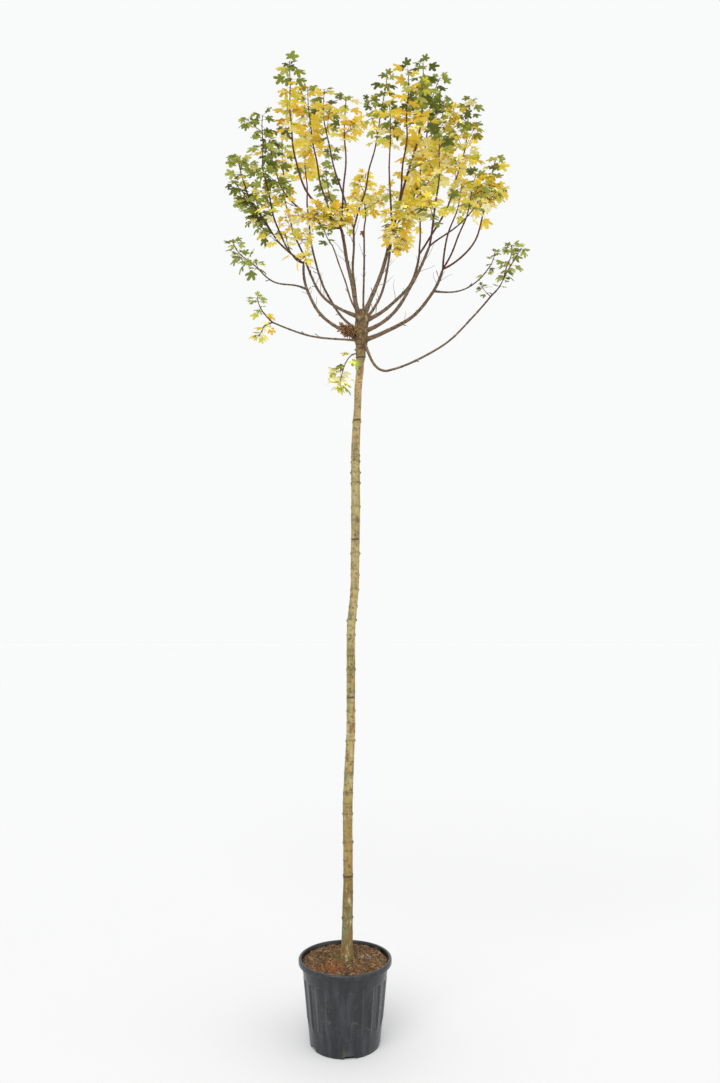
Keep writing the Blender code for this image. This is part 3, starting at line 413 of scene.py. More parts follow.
# the pot as radius(profile, angle): profile radius plus depth x flute weight x a narrow rib wave;
# the foot is lifted to the arch of each drain slot
def potSurface(p):
    radius, height, flute, drain = (column[:, None] for column in potProfile(p).T)
    solid = radius > 0.1
    angle = roundAngles(p["columns"])[None, :]
    rib = (0.5 + 0.5 * np.cos(p["flutes"] * angle)) ** 3.5
    radius = radius + p["fluteDepth"] * flute * (rib - 0.25)
    pitch = fullTurn / p["drains"]
    offset = (angle - math.radians(p["drainFirst"]) + pitch / 2.0) % pitch - pitch / 2.0
    half = p["drainWide"] / 2.0 / p["baseRadius"]
    arch = p["drainTall"] * (1.0 - easedStep(0.86 * half, half, np.abs(offset)))
    height = height + drain * np.maximum(arch - height, 0.0)
    radius = radius + 0.0004 * latticeNoise(angle / fullTurn, height * 18.0, 9, 5) * solid
    points = roundPoints(radius, angle, height)
    rows, columns = points.shape[:2]
    row = np.arange(rows)[:, None]
    # painted shade: the drain recess walls and the bore's inner rows are marked for a near-black tone where shade falls
    # inside the pot
    shadedRecess = (arch > 0.002) & (radius > p["baseRadius"] - 0.012) & (row < p["footRows"])
    collarFoot = p["height"] - p["rimTall"] - p["collarTall"]
    marks = {
        "paintedShadeInside": ((row >= rows - p["boreRows"]) | shadedRecess).ravel(),
        "collar": (0.55 * easedStep(collarFoot, collarFoot + 0.004, height)).ravel(),
    }
    return (points.reshape(-1, 3), gridQuads(rows, columns), noTriangles), marks


# black moulded plastic: dusty streaks that also stand in for painted sheen, splashes and scuffs, darker on the collar,
# and painted shade inside the bore and the drain recesses
def potFinish():
    material, tree, shader, place = newMaterial("potPlastic", 0.30, (0.020, 0.022, 0.025), 0.5)
    # dust and painted sheen: the pale vertical streaks over the black stand partly for dust and partly for reflections
    # of the bright surroundings
    dustAndSheen = mottled(tree, place, 34.0, 0.56, 0.16, (0.0085, 0.0110, 0.0135), (0.0390, 0.0440, 0.0480), (1.0, 1.0, 0.14))
    splash = mottled(tree, place, 26.0, 0.66, 0.08, dustAndSheen["Color"], (0.062, 0.058, 0.050))
    scuffs = speckled(tree, place, 150.0, 0.11, splash["Color"], (0.12, 0.115, 0.105), (1.0, 1.0, 0.3))
    collared = mixTones(tree, pointMark(tree, "collar"), scuffs, (0.0085, 0.0100, 0.0120))
    # painted shade: near-black inside the bore and the drain recesses
    shaded = mixTones(tree, pointMark(tree, "paintedShadeInside"), collared, (0.004, 0.004, 0.005))
    tree.links.new(shaded, shader.inputs["Base Color"])
    varyRoughness(tree, shader, dustAndSheen["Mask"], 0.24, 0.42)
    addBump(tree, shader, mottled(tree, place, 420.0, 0.5, 0.4)["Height"], 0.25, 0.0006)
    return material


potForm, potMarks = potSurface(potShape)
makePiece("pot_moulding", potForm, potFinish(), ["pot"], marks=potMarks)


# compost, its loose chips and pale feed grains
compostShape = {
    "level": 0.288, "edgeRadius": 0.1585, "relief": 0.0042, "rows": 58, "columns": 150, "chipReach": 0.150,
    "sink": 0.006, "sinkFrom": 0.145, "mound": 0.004, "moundAt": 0.03,
    "skirt": ((0.0004, 0.250), (0.1440, 0.250), (0.1510, 0.268)),   # radius and height of its hidden rings
    # each noise: stretch across and along, shift, cells, seed and its part of the relief
    "lumps": ((1.4, 26.0, 8.0, 24, 31, 0.5), (1.6, 70.0, 16.0, 60, 32, 0.32), (1.6, 190.0, 40.0, 170, 33, 0.18)),
}


# height of the compost's top: three octaves of lattice noise, a slight mound at the stem and a dip at the rim
def compostHeight(x, y):
    lump = sum(latticeNoise(x * wide + 0.5, y * tall + shift, cells, seed) * part
               for wide, tall, shift, cells, seed, part in compostShape["lumps"])
    radius = np.hypot(x, y)
    sink = compostShape["sink"] * easedStep(compostShape["sinkFrom"], compostShape["edgeRadius"], radius)
    mound = compostShape["mound"] * bell(radius - compostShape["moundAt"], compostShape["moundAt"])
    return compostShape["level"] + compostShape["relief"] * lump + mound - sink


# rings drawn in by their share to the power 0.8, each point at the compost's height, above a skirt
# that closes it inside the pot
def compostSurface(c):
    angle = roundAngles(c["columns"])[None, :]
    radius = (np.linspace(1.0, 0.0, c["rows"]) ** 0.8)[:, None] * c["edgeRadius"] + 0.0004
    x, y = radius * np.cos(angle), radius * np.sin(angle)
    top = np.stack([x, y, compostHeight(x, y)], -1)
    skirt = [roundPoints(r, angle[0], z) for r, z in c["skirt"]]
    points = np.concatenate([np.stack(skirt), top])
    return points.reshape(-1, 3), gridQuads(len(points), c["columns"]), noTriangles


cubeCorners = np.array([(x, y, z) for z in (-1, 1) for y in (-1, 1) for x in (-1, 1)], float)
cubeQuads = np.array([(0, 2, 3, 1), (4, 5, 7, 6), (0, 1, 5, 4), (2, 6, 7, 3), (0, 4, 6, 2), (1, 3, 7, 5)])


# random slivers lying on the compost: a box pinched at its ends, turned and tilted, half sunk;
# around = (x, y, spread) heaps them round one place
def scatter(count, lengths, widths, thicks, tilt, seed, sunk=0.3, around=None):
    rng = np.random.default_rng(seed)
    heap, reach = around is not None, compostShape["chipReach"]
    radius = np.abs(rng.normal(0.0, around[2], count)) if heap else reach * np.sqrt(rng.uniform(0.03, 1.0, count))
    angle = rng.uniform(0.0, fullTurn, count)
    x, y = radius * np.cos(angle), radius * np.sin(angle)
    if heap:
        x, y = x + around[0], y + around[1]
    drift = latticeNoise(x * 1.6 + 0.5, y * 26.0 + 8.0, 22, 900 + seed)
    keep = (np.hypot(x, y) < reach) & (drift > rng.uniform(-0.9, 0.5, count) * (not heap) - heap)
    x, y, count = x[keep], y[keep], keep.sum()
    ahead = compass(rng.uniform(0.0, 360.0, count), rng.normal(0.0, tilt, count))
    side = unit(np.cross(unit(upward + rng.normal(0.0, math.radians(tilt), (count, 3))), ahead))
    up = np.cross(ahead, side)
    size = np.stack([rng.uniform(*limits, count) for limits in (lengths, widths, thicks)], -1) / 2.0
    corners = cubeCorners[None] * rng.uniform(0.55, 1.15, (count, 8, 3)) * size[:, None, :]
    centre = np.stack([x, y, compostHeight(x, y) + size[:, 2] * (1.0 - sunk)], -1)
    points = (centre[:, None] + corners[..., 0:1] * ahead[:, None] + corners[..., 1:2] * side[:, None]
              + corners[..., 2:3] * up[:, None])
    return repeated(points, cubeQuads)


# crumbs: two tones in patches and a fine fibrous relief
def compostFinish(name, tone, second, scale, roughness=0.95):
    material, tree, shader, place = newMaterial(name, roughness, tone)
    grain = mottled(tree, place, scale, 0.5, 0.12, tone, second)
    fibre = mottled(tree, place, scale * 5.0, 0.5, 0.3)
    tree.links.new(grain["Color"], shader.inputs["Base Color"])
    addBump(tree, shader, fibre["Height"], 0.7, 0.0015)
    return material


chipKinds = {  # heap: count, lengths, widths, thicknesses, tilt, seed, sunk share, place and spread
    "russet": {"tone": (0.310, 0.112, 0.032), "second": (0.200, 0.072, 0.024), "count": 130, "heap": (
        420, (0.003, 0.012), (0.002, 0.006), (0.001, 0.003), 25.0, 300, 0.2, (-0.050, -0.080, 0.040))},
    "brown": {"tone": (0.185, 0.098, 0.044), "second": (0.110, 0.058, 0.028), "count": 620},
    "dark": {"tone": (0.092, 0.054, 0.030), "second": (0.054, 0.033, 0.020), "count": 360},
    "tan": {"tone": (0.350, 0.220, 0.105), "second": (0.230, 0.140, 0.066), "count": 200},
    "moss": {"tone": (0.175, 0.150, 0.046), "second": (0.100, 0.086, 0.028), "count": 60, "heap": (
        420, (0.003, 0.009), (0.002, 0.005), (0.001, 0.003), 30.0, 310, 0.2, (-0.045, 0.030, 0.055))},
}
chipSizes = (  # times the count, then as for a heap
    (1, (0.006, 0.020), (0.003, 0.009), (0.0015, 0.0038), 22.0, 100),
    (2, (0.002, 0.006), (0.0015, 0.004), (0.001, 0.003), 35.0, 200),
)
grainHeaps = (
    (190, (0.0018, 0.0036), (0.0016, 0.003), (0.0014, 0.0028), 40.0, 401, 0.1),
    (170, (0.0018, 0.0040), (0.0016, 0.003), (0.0014, 0.0028), 40.0, 402, 0.1, (0.085, 0.035, 0.045)),
)


# the crumbly top, each kind of chip in two sizes with its heap, and the pale grains
def makeCompost():
    base = compostFinish("compostCrumb", (0.185, 0.098, 0.045), (0.095, 0.052, 0.027), 60.0)
    makePiece("compost_top", compostSurface(compostShape), base, ["soil"])
    for k, (kind, values) in enumerate(chipKinds.items()):
        material = compostFinish("barkChip" + kind.title(), values["tone"], values["second"], 300.0)
        shapes = [scatter(values["count"] * times, *sizes, seed + k) for times, *sizes, seed in chipSizes]
        if "heap" in values:
            shapes.append(scatter(*values["heap"]))
        makePiece("bark_chips_" + kind, joined(shapes), material, ["soil"], False)
    pale = compostFinish("feedGrain", (0.50, 0.44, 0.34), (0.36, 0.30, 0.22), 200.0, 0.7)
    grains = joined([scatter(*heap) for heap in grainHeaps])
    makePiece("feed_grains", grains, pale, ["soil"])
    print("compost laid")


makeCompost()


# trunk
trunkShape = {
    # height, sideways place and radius of the axis, foot to head
    "course": (
        (0.288, 0.0062, 0.0255), (0.330, 0.0068, 0.0208), (0.440, 0.0084, 0.0193),
        (0.560, 0.0100, 0.0176), (0.830, 0.0086, 0.0180), (1.155, 0.0200, 0.0160),
        (1.474, 0.0196, 0.0156), (1.694, 0.0350, 0.0158), (1.960, 0.0378, 0.0170),
        (2.190, 0.0370, 0.0165), (2.430, 0.0466, 0.0137), (2.545, 0.0553, 0.0146),
        (2.590, 0.0580, 0.0196), (2.640, 0.0600, 0.0224), (2.710, 0.0612, 0.0246),
        (2.750, 0.0613, 0.0240), (2.768, 0.0613, 0.0170),
    ),
    "foot": 0.276, "top": 2.776, "shoulder": 2.732, "step": 0.0052, "columns": 60,
    "scars": (0.439, 0.591, 0.710, 0.814, 0.892, 0.962, 1.021, 1.084, 1.147, 1.196, 1.270, 1.352,
              1.423, 1.483, 1.539, 1.592, 1.656, 1.713, 1.796, 1.926, 1.979, 2.072, 2.114, 2.157,
              2.180, 2.223, 2.317),
    "scarLift": 0.0010, "scarWide": 0.0036, "knobLift": 0.0044, "seed": 7,
    "girdles": (0.588, 1.246, 1.849, 2.320, 2.572),   # rub marks where it was once tied in
    "freckles": 5, "freckleSpan": (0.45, 2.50),       # faint old rings between two scars, and where
    "headFoot": 2.570, "headFull": 2.62, "bareHead": (2.56, 2.60),
    "relief": ((0.0006, 16.0, 5, 13), (0.00032, 34.0, 26, 14), (0.00020, 210.0, 20, 15)),  # lift, rate, cells, seed
    # bark tone by height: olive-tan, redder low down, pale under the graft, brown head
    "tones": (
        (0.29, (0.165, 0.122, 0.033)), (0.45, (0.158, 0.108, 0.026)), (0.55, (0.185, 0.125, 0.034)),
        (0.66, (0.310, 0.205, 0.070)), (0.80, (0.262, 0.182, 0.058)), (0.92, (0.352, 0.284, 0.104)),
        (1.20, (0.381, 0.308, 0.120)), (1.35, (0.288, 0.221, 0.068)), (1.41, (0.307, 0.239, 0.076)),
        (1.50, (0.409, 0.331, 0.132)), (1.85, (0.372, 0.285, 0.116)), (2.06, (0.335, 0.272, 0.100)),
        (2.30, (0.358, 0.276, 0.112)), (2.42, (0.391, 0.276, 0.120)), (2.50, (0.521, 0.341, 0.156)),
        (2.56, (0.428, 0.267, 0.112)), (2.58, (0.233, 0.145, 0.058)), (2.66, (0.219, 0.134, 0.053)),
        (2.80, (0.195, 0.115, 0.046)),
    ),
}
trunkKnots = np.array(trunkShape["course"])


# sideways place and radius of the trunk at heights, eased between its knots
def trunkAt(height):
    height = np.clip(height, trunkKnots[0, 0], trunkKnots[-1, 0])
    k = np.clip(np.searchsorted(trunkKnots[:, 0], height) - 1, 0, len(trunkKnots) - 2)
    low, high = trunkKnots[k], trunkKnots[k + 1]
    ease = easedStep(low[..., 0], high[..., 0], height)
    return low[..., 1] + (high[..., 1] - low[..., 1]) * ease, low[..., 2] + (high[..., 2] - low[..., 2]) * ease


# point of the trunk's axis at a height
def axisPoint(height):
    return np.array([float(trunkAt(height)[0]), 0.0, height])


# the bole as radius(height, angle): eased taper, foot lobes, a lip and groove at each old node with
# a bud scar on two opposite sides, callus swellings at the boughs; returned with how dark each
# point lies: scars, knobs, faint old rings, rub marks, dark rings round the bough roots, darker
# in the grooves between the foot lobes, and painted shade in the hollows of the knuckled head
def trunkSurface(p, boughRoots):
    rng = np.random.default_rng(p["seed"])
    scars, girdles = np.array(p["scars"]), np.array(p["girdles"])
    offsets = np.array([-0.009, -0.006, -0.0035, -0.0015, 0.0, 0.0015, 0.0030, 0.0050, 0.008])
    heights = np.concatenate([
        np.arange(p["foot"], 2.765, p["step"]), (scars[:, None] + offsets).ravel(),
        (girdles[:, None] + offsets).ravel(), np.linspace(2.550, 2.585, 16), np.linspace(2.7655, 2.775, 6)])
    heights = np.unique(np.round(heights, 4))[:, None]
    angle = roundAngles(p["columns"])[None, :]
    share = angle / fullTurn
    across, radius = trunkAt(heights)
    above = heights - p["foot"]
    lobes = np.cos(5.0 * angle + 1.0)
    size = radius * (1.0 + 0.10 * np.cos(3.0 * angle + 0.7) * np.exp(-above / 0.030))
    size = size + 0.0035 * np.exp(-above / 0.016) * (0.6 + 0.4 * lobes)
    dark = 0.55 * np.exp(-(above - 0.012) / 0.010) * (lobes < 0.1)
    strong = rng.uniform(-28.0, 28.0, len(scars)) + 90.0 * (rng.uniform(0.0, 1.0, len(scars)) < 0.25)
    weight = rng.uniform(0.45, 1.0, len(scars))

    def around(face):  # run round the stem from a heading
        return np.angle(np.exp(1j * (angle - face))) * radius

    for level, side, push in zip(scars, np.radians(strong), weight):
        gap = heights - level - 0.0016 * np.cos(angle - side - 1.0)
        turn = 0.55 + 0.45 * np.abs(np.cos(angle - side))
        size = size + p["scarLift"] * push * turn * bell(gap, p["scarWide"])
        size = size - 0.0007 * push * bell(gap - 0.0045, 0.0016)
        dark = np.maximum(dark, 0.75 * push * turn * bell(gap - 0.0035, 0.0020))
        for face, part in ((side, 1.0), (side + math.pi, rng.uniform(0.4, 1.0))):
            away = around(face)
            size = size + p["knobLift"] * push * part * bell(gap + 0.001, 0.0058, away, 0.0055)
            dark = np.maximum(dark, push * part * bell(gap - 0.002, 0.0085, away, 0.0075))
    for level in np.sort(rng.uniform(*p["freckleSpan"], p["freckles"] * len(scars))):
        gap = heights - level - 0.0014 * np.cos(angle - rng.uniform(0.0, 6.28))
        arc = easedStep(-0.2, 0.5, np.cos(angle - rng.uniform(0.0, 6.28)))
        size = size + 0.0004 * bell(gap, 0.0030) * arc
        dark = np.maximum(dark, rng.uniform(0.15, 0.55) * arc * bell(gap, 0.0024))
    for level in girdles:
        gap = heights - level - 0.0010 * np.cos(angle + 0.6)
        size = size - 0.0012 * bell(gap, 0.0026) + 0.0012 * bell(np.abs(gap) - 0.005, 0.0022)
        dark = np.maximum(dark, bell(gap, 0.0036))
    head = easedStep(p["headFoot"], p["headFull"], heights)
    lumps, knots = latticeNoise(share, heights * 46.0, 7, 11), latticeNoise(share, heights * 120.0, 15, 12)
    size = size + head * (0.0026 * lumps + 0.0016 * knots)
    # painted shade: the head is darkened, most of all where its lumps and knots sink in
    dark = np.maximum(dark, head * np.clip(0.34 - 1.1 * knots - 0.8 * lumps, 0.0, 0.95))
    for lift, often, cells, seed in p["relief"]:
        size = size + lift * latticeNoise(share, heights * often, cells, seed)
    for heading, level, thick in boughRoots:
        reach, away = thick * 1.5 + 0.004, around(math.radians(heading))
        size = size + 0.0034 * bell(heights - level, reach, away, reach)
        ring = np.hypot(heights - level, away) - 1.1 * reach
        dark = np.maximum(dark, 0.8 * bell(ring, 0.0030) * (heights > level - 0.6 * reach))
    crown = np.clip((heights - p["shoulder"]) / (p["top"] - p["shoulder"]), 0.0, 1.0)
    size = size * np.sqrt(np.clip(1.0 - crown ** 2, 0.0, 1.0)) + 0.0003
    points = roundPoints(size, angle, heights, across)
    rows, columns = points.shape[:2]
    points = np.concatenate([points.reshape(-1, 3), [axisPoint(p["foot"]), axisPoint(p["top"])]])
    dark = np.concatenate([np.clip(dark, 0.0, 1.0).ravel(), [0.0, 0.0]])
    return (points, gridQuads(rows, columns), endCaps(rows, columns)), dark


# bark: a tone by height, patches of green, rust, tan and dark over it, pale pores, and the marks
# of the relief darkened, with painted shade in the hollows of the head
def trunkFinish(p):
    material, tree, shader, place = newMaterial("stemBark", 0.80, (0.36, 0.29, 0.13))
    split = addNode(tree, "ShaderNodeSeparateXYZ")
    tree.links.new(place, split.inputs[0])
    (low, lowTone), (high, highTone) = p["tones"][0], p["tones"][-1]
    tones = addNode(tree, "ShaderNodeValToRGB")
    ramp = tones.color_ramp
    ramp.elements[0].color, ramp.elements[-1].color = (*lowTone, 1), (*highTone, 1)
    for height, colour in p["tones"][1:-1]:
        ramp.elements.new((height - low) / (high - low)).color = (*colour, 1)
    climb = rangeOf(tree, split.outputs["Z"], {"From Min": low, "From Max": high})
    tree.links.new(climb, tones.inputs["Fac"])
    plain = tones.outputs["Color"]
    green = mottled(tree, place, 16.0, 0.575, 0.08, plain, (0.170, 0.172, 0.072), (2.2, 2.2, 0.8))
    head = rangeOf(tree, split.outputs["Z"], dict(zip(("From Min", "From Max"), p["bareHead"])))
    bare = mixTones(tree, head, green["Color"], plain)
    rust = mottled(tree, place, 19.0, 0.60, 0.07, bare, (0.240, 0.120, 0.050), (1.8, 1.8, 0.8))
    tan = mottled(tree, place, 46.0, 0.62, 0.10, rust["Color"], (0.450, 0.380, 0.240), (1.6, 1.6, 0.5))
    fleck = mottled(tree, place, 120.0, 0.60, 0.06, tan["Color"], (0.120, 0.080, 0.036), (0.8, 0.8, 1.0))
    dots = speckled(tree, place, 190.0, 0.19, fleck["Color"], (0.43, 0.34, 0.21), (1.0, 1.0, 0.6))
    # scars and marks, with painted shade in the head's hollows, mixed towards a near-black brown
    scarredAndShaded = mixTones(tree, pointMark(tree, "scarsAndCreviceShade"), dots, (0.060, 0.038, 0.020))
    tree.links.new(scarredAndShaded, shader.inputs["Base Color"])
    varyRoughness(tree, shader, fleck["Mask"], 0.72, 0.92)
    fine = mottled(tree, place, 260.0, 0.5, 0.3, stretch=(1.0, 1.0, 0.35))
    before = addBump(tree, shader, fine["Height"], 0.6, 0.0014)
    addBump(tree, shader, fleck["Mask"], 0.6, -0.0007, before)
    return material


# limbs: the same rows as the solids grow from
boughPlan = {  # heading, root height, rise, reach, top, tip rise, thick, thin
    "left_low": (203, 2.646, -5, 0.357, 2.664, 18, 0.0046, 0.0031),
    "left_outer": (175, 2.649, 22, 0.234, 2.964, 92, 0.0076, 0.005),
    "left_upper": (161, 2.742, 17, 0.248, 3.024, 75, 0.0068, 0.0042),
    "left_rear": (135, 2.676, 36, 0.31, 3.174, 76, 0.0056, 0.004),
    "front_short": (242, 2.754, -5, 0.226, 2.933, 38, 0.0038, 0.0025),
    "centre_left": (195, 2.711, 72, 0.08, 3.079, 78, 0.0095, 0.006),
    "rear_left": (112, 2.735, 47, 0.086, 3.141, 92, 0.0062, 0.0042),
    "rear": (87, 2.7, 24, 0.22, 3.135, 92, 0.0052, 0.0038),
    "centre_right": (334, 2.732, 59, 0.137, 3.072, 74, 0.0095, 0.006),
    "right_rear": (56, 2.728, 32, 0.218, 3.104, 77, 0.0062, 0.0043),
    "right_upper": (19, 2.719, 30, 0.25, 3.031, 83, 0.0076, 0.005),
    "right_front": (335, 2.681, 4, 0.286, 2.97, 64, 0.008, 0.005),
    "right_outer": (3.5, 2.645, 17, 0.327, 2.94, 73, 0.0088, 0.0054),
    "right_drooping": (333, 2.648, -47, 0.111, 2.506, -5, 0.006, 0.0048),
}
branchPlan = {  # parent, share along it, then as above without the root
    "right_sweeping": ("right_drooping", 1.0, 353, 12, 0.393, 2.772, 50, 0.0047, 0.0034),
    "left_side": ("left_outer", 0.76, 224, 6, 0.226, 2.864, 30, 0.0036, 0.0027),
    "right_side": ("right_outer", 0.81, 22, -2, 0.219, 2.945, 45, 0.0036, 0.0026),
}
# name, parent, share along it, heading, rise, reach, top, tip rise, thick, bare share, leaf size,
# share of the shoot from which its leaves are green
shootPlan = {
    "left_low": (
        ("climbing", "tip", 0, 164, 33, 0.073, 2.792, 70, 0.0026, 0.1, 0.72, 0.55),
        ("hanging", "tip", 0, 231, -17, 0.077, 2.573, -79, 0.0024, 0.15, 0.72, 1.2),
    ),
    "left_outer": (
        ("outer", "tip", 0, 169, 38, 0.323, 3.373, 46, 0.0036, 0.44, 0.92, 0.2),
        ("inner", "outer", 0.17, 244, 29, 0.203, 3.526, 97, 0.0032, 0.3, 0.92, 0.46),
        ("middle", "outer", 0.4, 200, 50, 0.15, 3.44, 85, 0.0028, 0.3, 0.95, 0.1),
        ("low", "tip", 0, 208, -5, 0.085, 3.109, 82, 0.0022, 0.4, 0.78, 1.2),
    ),
    "left_upper": (("leader", "tip", 0, 117, 49, 0.247, 3.756, 98, 0.0036, 0.68, 0.95, 0.74),),
    "left_rear": (("leader", "tip", 0, 102, 66, 0.204, 3.791, 78, 0.0036, 0.66, 1.05, 0.95),),
    "front_short": (("leader", "tip", 0, 200, 45, 0.04, 3.016, 75, 0.002, 0.1, 0.65, -0.2),),
    "centre_left": (
        ("stem", "tip", 0, 258, 86, 0.041, 3.123, 84, 0.0052, 0.9, 1.0, 1.2),
        ("left", "stem", 0.92, 204, 17, 0.222, 3.771, 85, 0.004, 0.5, 1.0, 0.87),
        ("middle", "left", 0.06, 122, 65, 0.205, 3.826, 86, 0.0036, 0.52, 1.02, 0.89),
        ("front", "stem", 0.92, 280, 8, 0.161, 3.579, 60, 0.0036, 0.66, 1.0, 0.92),
        ("far_left", "stem", 0.3, 200, -8, 0.285, 3.4, 97, 0.0034, 0.62, 0.92, 0.7),
    ),
    "rear_left": (
        ("left", "tip", 0, 207, 70, 0.133, 3.757, 97, 0.0036, 0.62, 1.0, 0.975),
        ("right", "tip", 0, 34, 72, 0.178, 3.91, 80, 0.0036, 0.58, 0.92, 0.62),
        ("rear", "left", 0.12, 105, 37, 0.428, 3.675, 93, 0.0032, 0.72, 0.95, 0.3),
    ),
    "rear": (("leader", "tip", 0, 88, 62, 0.22, 3.627, 97, 0.0034, 0.6, 0.98, 1.2),),
    "centre_right": (
        ("leader", "tip", 0, 341, 75, 0.122, 3.79, 96, 0.0042, 0.07, 1.05, 0.67),
        ("front", "leader", 0.12, 280, 50, 0.174, 3.66, 97, 0.0034, 0.5, 1.0, 0.88),
        ("left", "tip", 0, 259, 12, 0.099, 3.571, 60, 0.0034, 0.72, 0.95, 0.9),
        ("low", "tip", 0, 285, 8, 0.06, 2.995, -60, 0.0022, 0.15, 1.0, 1.2),
    ),
    "right_rear": (
        ("rear", "tip", 0, 48, 74, 0.364, 3.709, 75, 0.0038, 0.2, 1.0, 0.85),
        ("leader", "rear", 0.37, 322, 50, 0.203, 3.901, 50, 0.003, 0.1, 1.05, 0.6),
    ),
    "right_upper": (
        ("left", "tip", 0, 82, 56, 0.11, 3.57, 92, 0.0034, 0.38, 1.0, 0.95),
        ("leader", "tip", 0, 15, 56, 0.236, 3.788, 86, 0.0038, 0.46, 1.05, 0.82),
    ),
    "right_front": (
        ("leader", "tip", 0, 289, 59, 0.106, 3.396, 86, 0.0036, 0.24, 1.0, 0.94),
        ("side", "tip", 0, 326, 28, 0.216, 3.141, 92, 0.003, 0.76, 1.0, 1.2),
    ),
    "right_outer": (
        ("rear", "tip", 0, 47, 88, 0.136, 3.402, 91, 0.0036, 0.66, 0.95, 1.2),
        ("front", "tip", 0, 329, 54, 0.156, 3.345, 78, 0.0034, 0.64, 0.95, 0.97),
        ("outer", "tip", 0, 355, 22, 0.229, 3.438, 71, 0.0036, 0.56, 0.98, 0.8),
    ),
    "right_sweeping": (
        ("stem", "tip", 0, 342, 50, 0.064, 2.861, 61, 0.003, 0.62, 0.5, -0.2),
        ("outer", "stem", 0.96, 327, 60, 0.09, 2.966, 42, 0.0024, 0.12, 0.7, -0.2),
        ("inner", "stem", 0.96, 52, 61, 0.077, 3.031, 82, 0.0024, 0.2, 0.7, -0.2),
    ),
    "left_side": (("leader", "tip", 0, 210, 38, 0.119, 2.98, 84, 0.0022, 0.06, 0.74, -0.2),),
    "right_side": (("leader", "tip", 0, 33, 44, 0.074, 3.088, 92, 0.0022, 0.2, 0.6, -0.2),),
}
# finer sprigs of the same masses: mass and shoot, then share along it, heading, rise, length, leaf
# size, and the share from which they are green where they aren't all gold
allGold = 1.2
sprigPlan = (
    ("centre_right", "left", (0.04, 262, -12, 0.085, 0.95), (0.03, 300, -20, 0.075, 0.95)),
    ("centre_right", "low", (0.6, 250, -40, 0.06, 0.95)), ("centre_right", "left", (0.1, 320, 5, 0.07, 1.0)),
    ("centre_right", "leader", (0.06, 345, -8, 0.08, 1.0)),
    ("centre_right", "low", (0.95, 300, -50, 0.08, 0.95), (0.85, 275, -80, 0.085, 0.95),
     (0.35, 235, -62, 0.058, 0.9)),
    ("centre_right", "left", (0.78, 300, 25, 0.07, 0.95)),
    ("centre_left", "far_left", (0.14, 235, -12, 0.07, 0.9), (0.26, 190, -5, 0.06, 0.9), (0.44, 200, 0, 0.07, 0.9),
     (0.54, 240, 10, 0.07, 0.9, 0.3), (0.2, 262, 12, 0.07, 0.9), (0.05, 250, -15, 0.06, 0.9)),
    ("centre_left", "left", (0.07, 215, -14, 0.07, 0.9), (0.04, 205, -8, 0.075, 0.9), (0.03, 262, -14, 0.065, 0.9)),
    ("centre_left", "front", (0.08, 300, -16, 0.05, 0.85)), ("centre_left", "middle", (0.86, 240, 20, 0.07, 0.95)),
    ("centre_left", "front", (0.74, 20, 25, 0.06, 0.9)),
    ("rear_left", "left", (0.08, 225, 10, 0.07, 0.85), (0.5, 100, 40, 0.055, 0.85, 0.2),
     (0.05, 190, -12, 0.06, 0.85)),
    ("rear_left", "right", (0.06, 250, -5, 0.055, 0.85), (0.02, 230, -35, 0.05, 0.85)),
    ("rear", "leader", (0.6, 350, 10, 0.06, 0.95), (0.66, 215, 0, 0.06, 0.95), (0.7, 10, 5, 0.06, 0.95)),
    ("centre_right", "leader", (0.36, 15, 15, 0.07, 0.95)), ("left_outer", "outer", (0.28, 220, 8, 0.07, 0.9, 0.0)),
    ("left_outer", "inner", (0.4, 330, 10, 0.065, 0.9, 0.3)), ("left_outer", "low", (0.25, 320, -30, 0.06, 0.85)),
    ("left_outer", "middle", (0.3, 200, 15, 0.065, 0.85, 0.0)),
    ("left_outer", "outer", (0.48, 180, 10, 0.065, 0.85, 0.0)),
    ("left_outer", "inner", (0.88, 185, 25, 0.06, 0.85, 0.0)),
    ("left_upper", "leader", (0.16, 300, -10, 0.06, 0.9), (0.26, 250, 5, 0.07, 0.9), (0.12, 290, -22, 0.07, 0.9)),
    ("left_rear", "leader", (0.12, 262, -18, 0.06, 0.85)),
    ("right_rear", "leader", (0.55, 350, 30, 0.095, 0.95, 0.4), (0.66, 330, 25, 0.09, 0.95, 0.1),
     (0.42, 10, 20, 0.1, 1.0), (0.76, 15, 30, 0.08, 0.9, 0.4)),
    ("right_upper", "leader", (0.8, 200, 30, 0.08, 0.95), (0.7, 235, 20, 0.085, 0.95), (0.88, 180, 25, 0.07, 0.9),
     (0.62, 190, 15, 0.08, 0.95)),
    ("right_outer", "rear", (0.8, 20, 20, 0.07, 0.95)), ("right_front", "leader", (0.26, 250, 12, 0.065, 0.95)),
    ("right_outer", "outer", (0.7, 30, 25, 0.07, 0.9, 0.9)),
    ("right_outer", "front", (0.78, 345, 12, 0.075, 0.95), (0.68, 20, 0, 0.065, 0.95)),
    ("right_outer", "outer", (0.62, 300, 10, 0.065, 0.95)), ("right_outer", "front", (0.88, 10, 25, 0.06, 0.9)),
    ("right_sweeping", "stem", (0.1, 215, 10, 0.045, 0.6, 0.0)),
    ("left_side", "leader", (0.04, 262, -15, 0.055, 0.8, 0.0), (0.3, 190, 10, 0.055, 0.8, 0.0)),
)
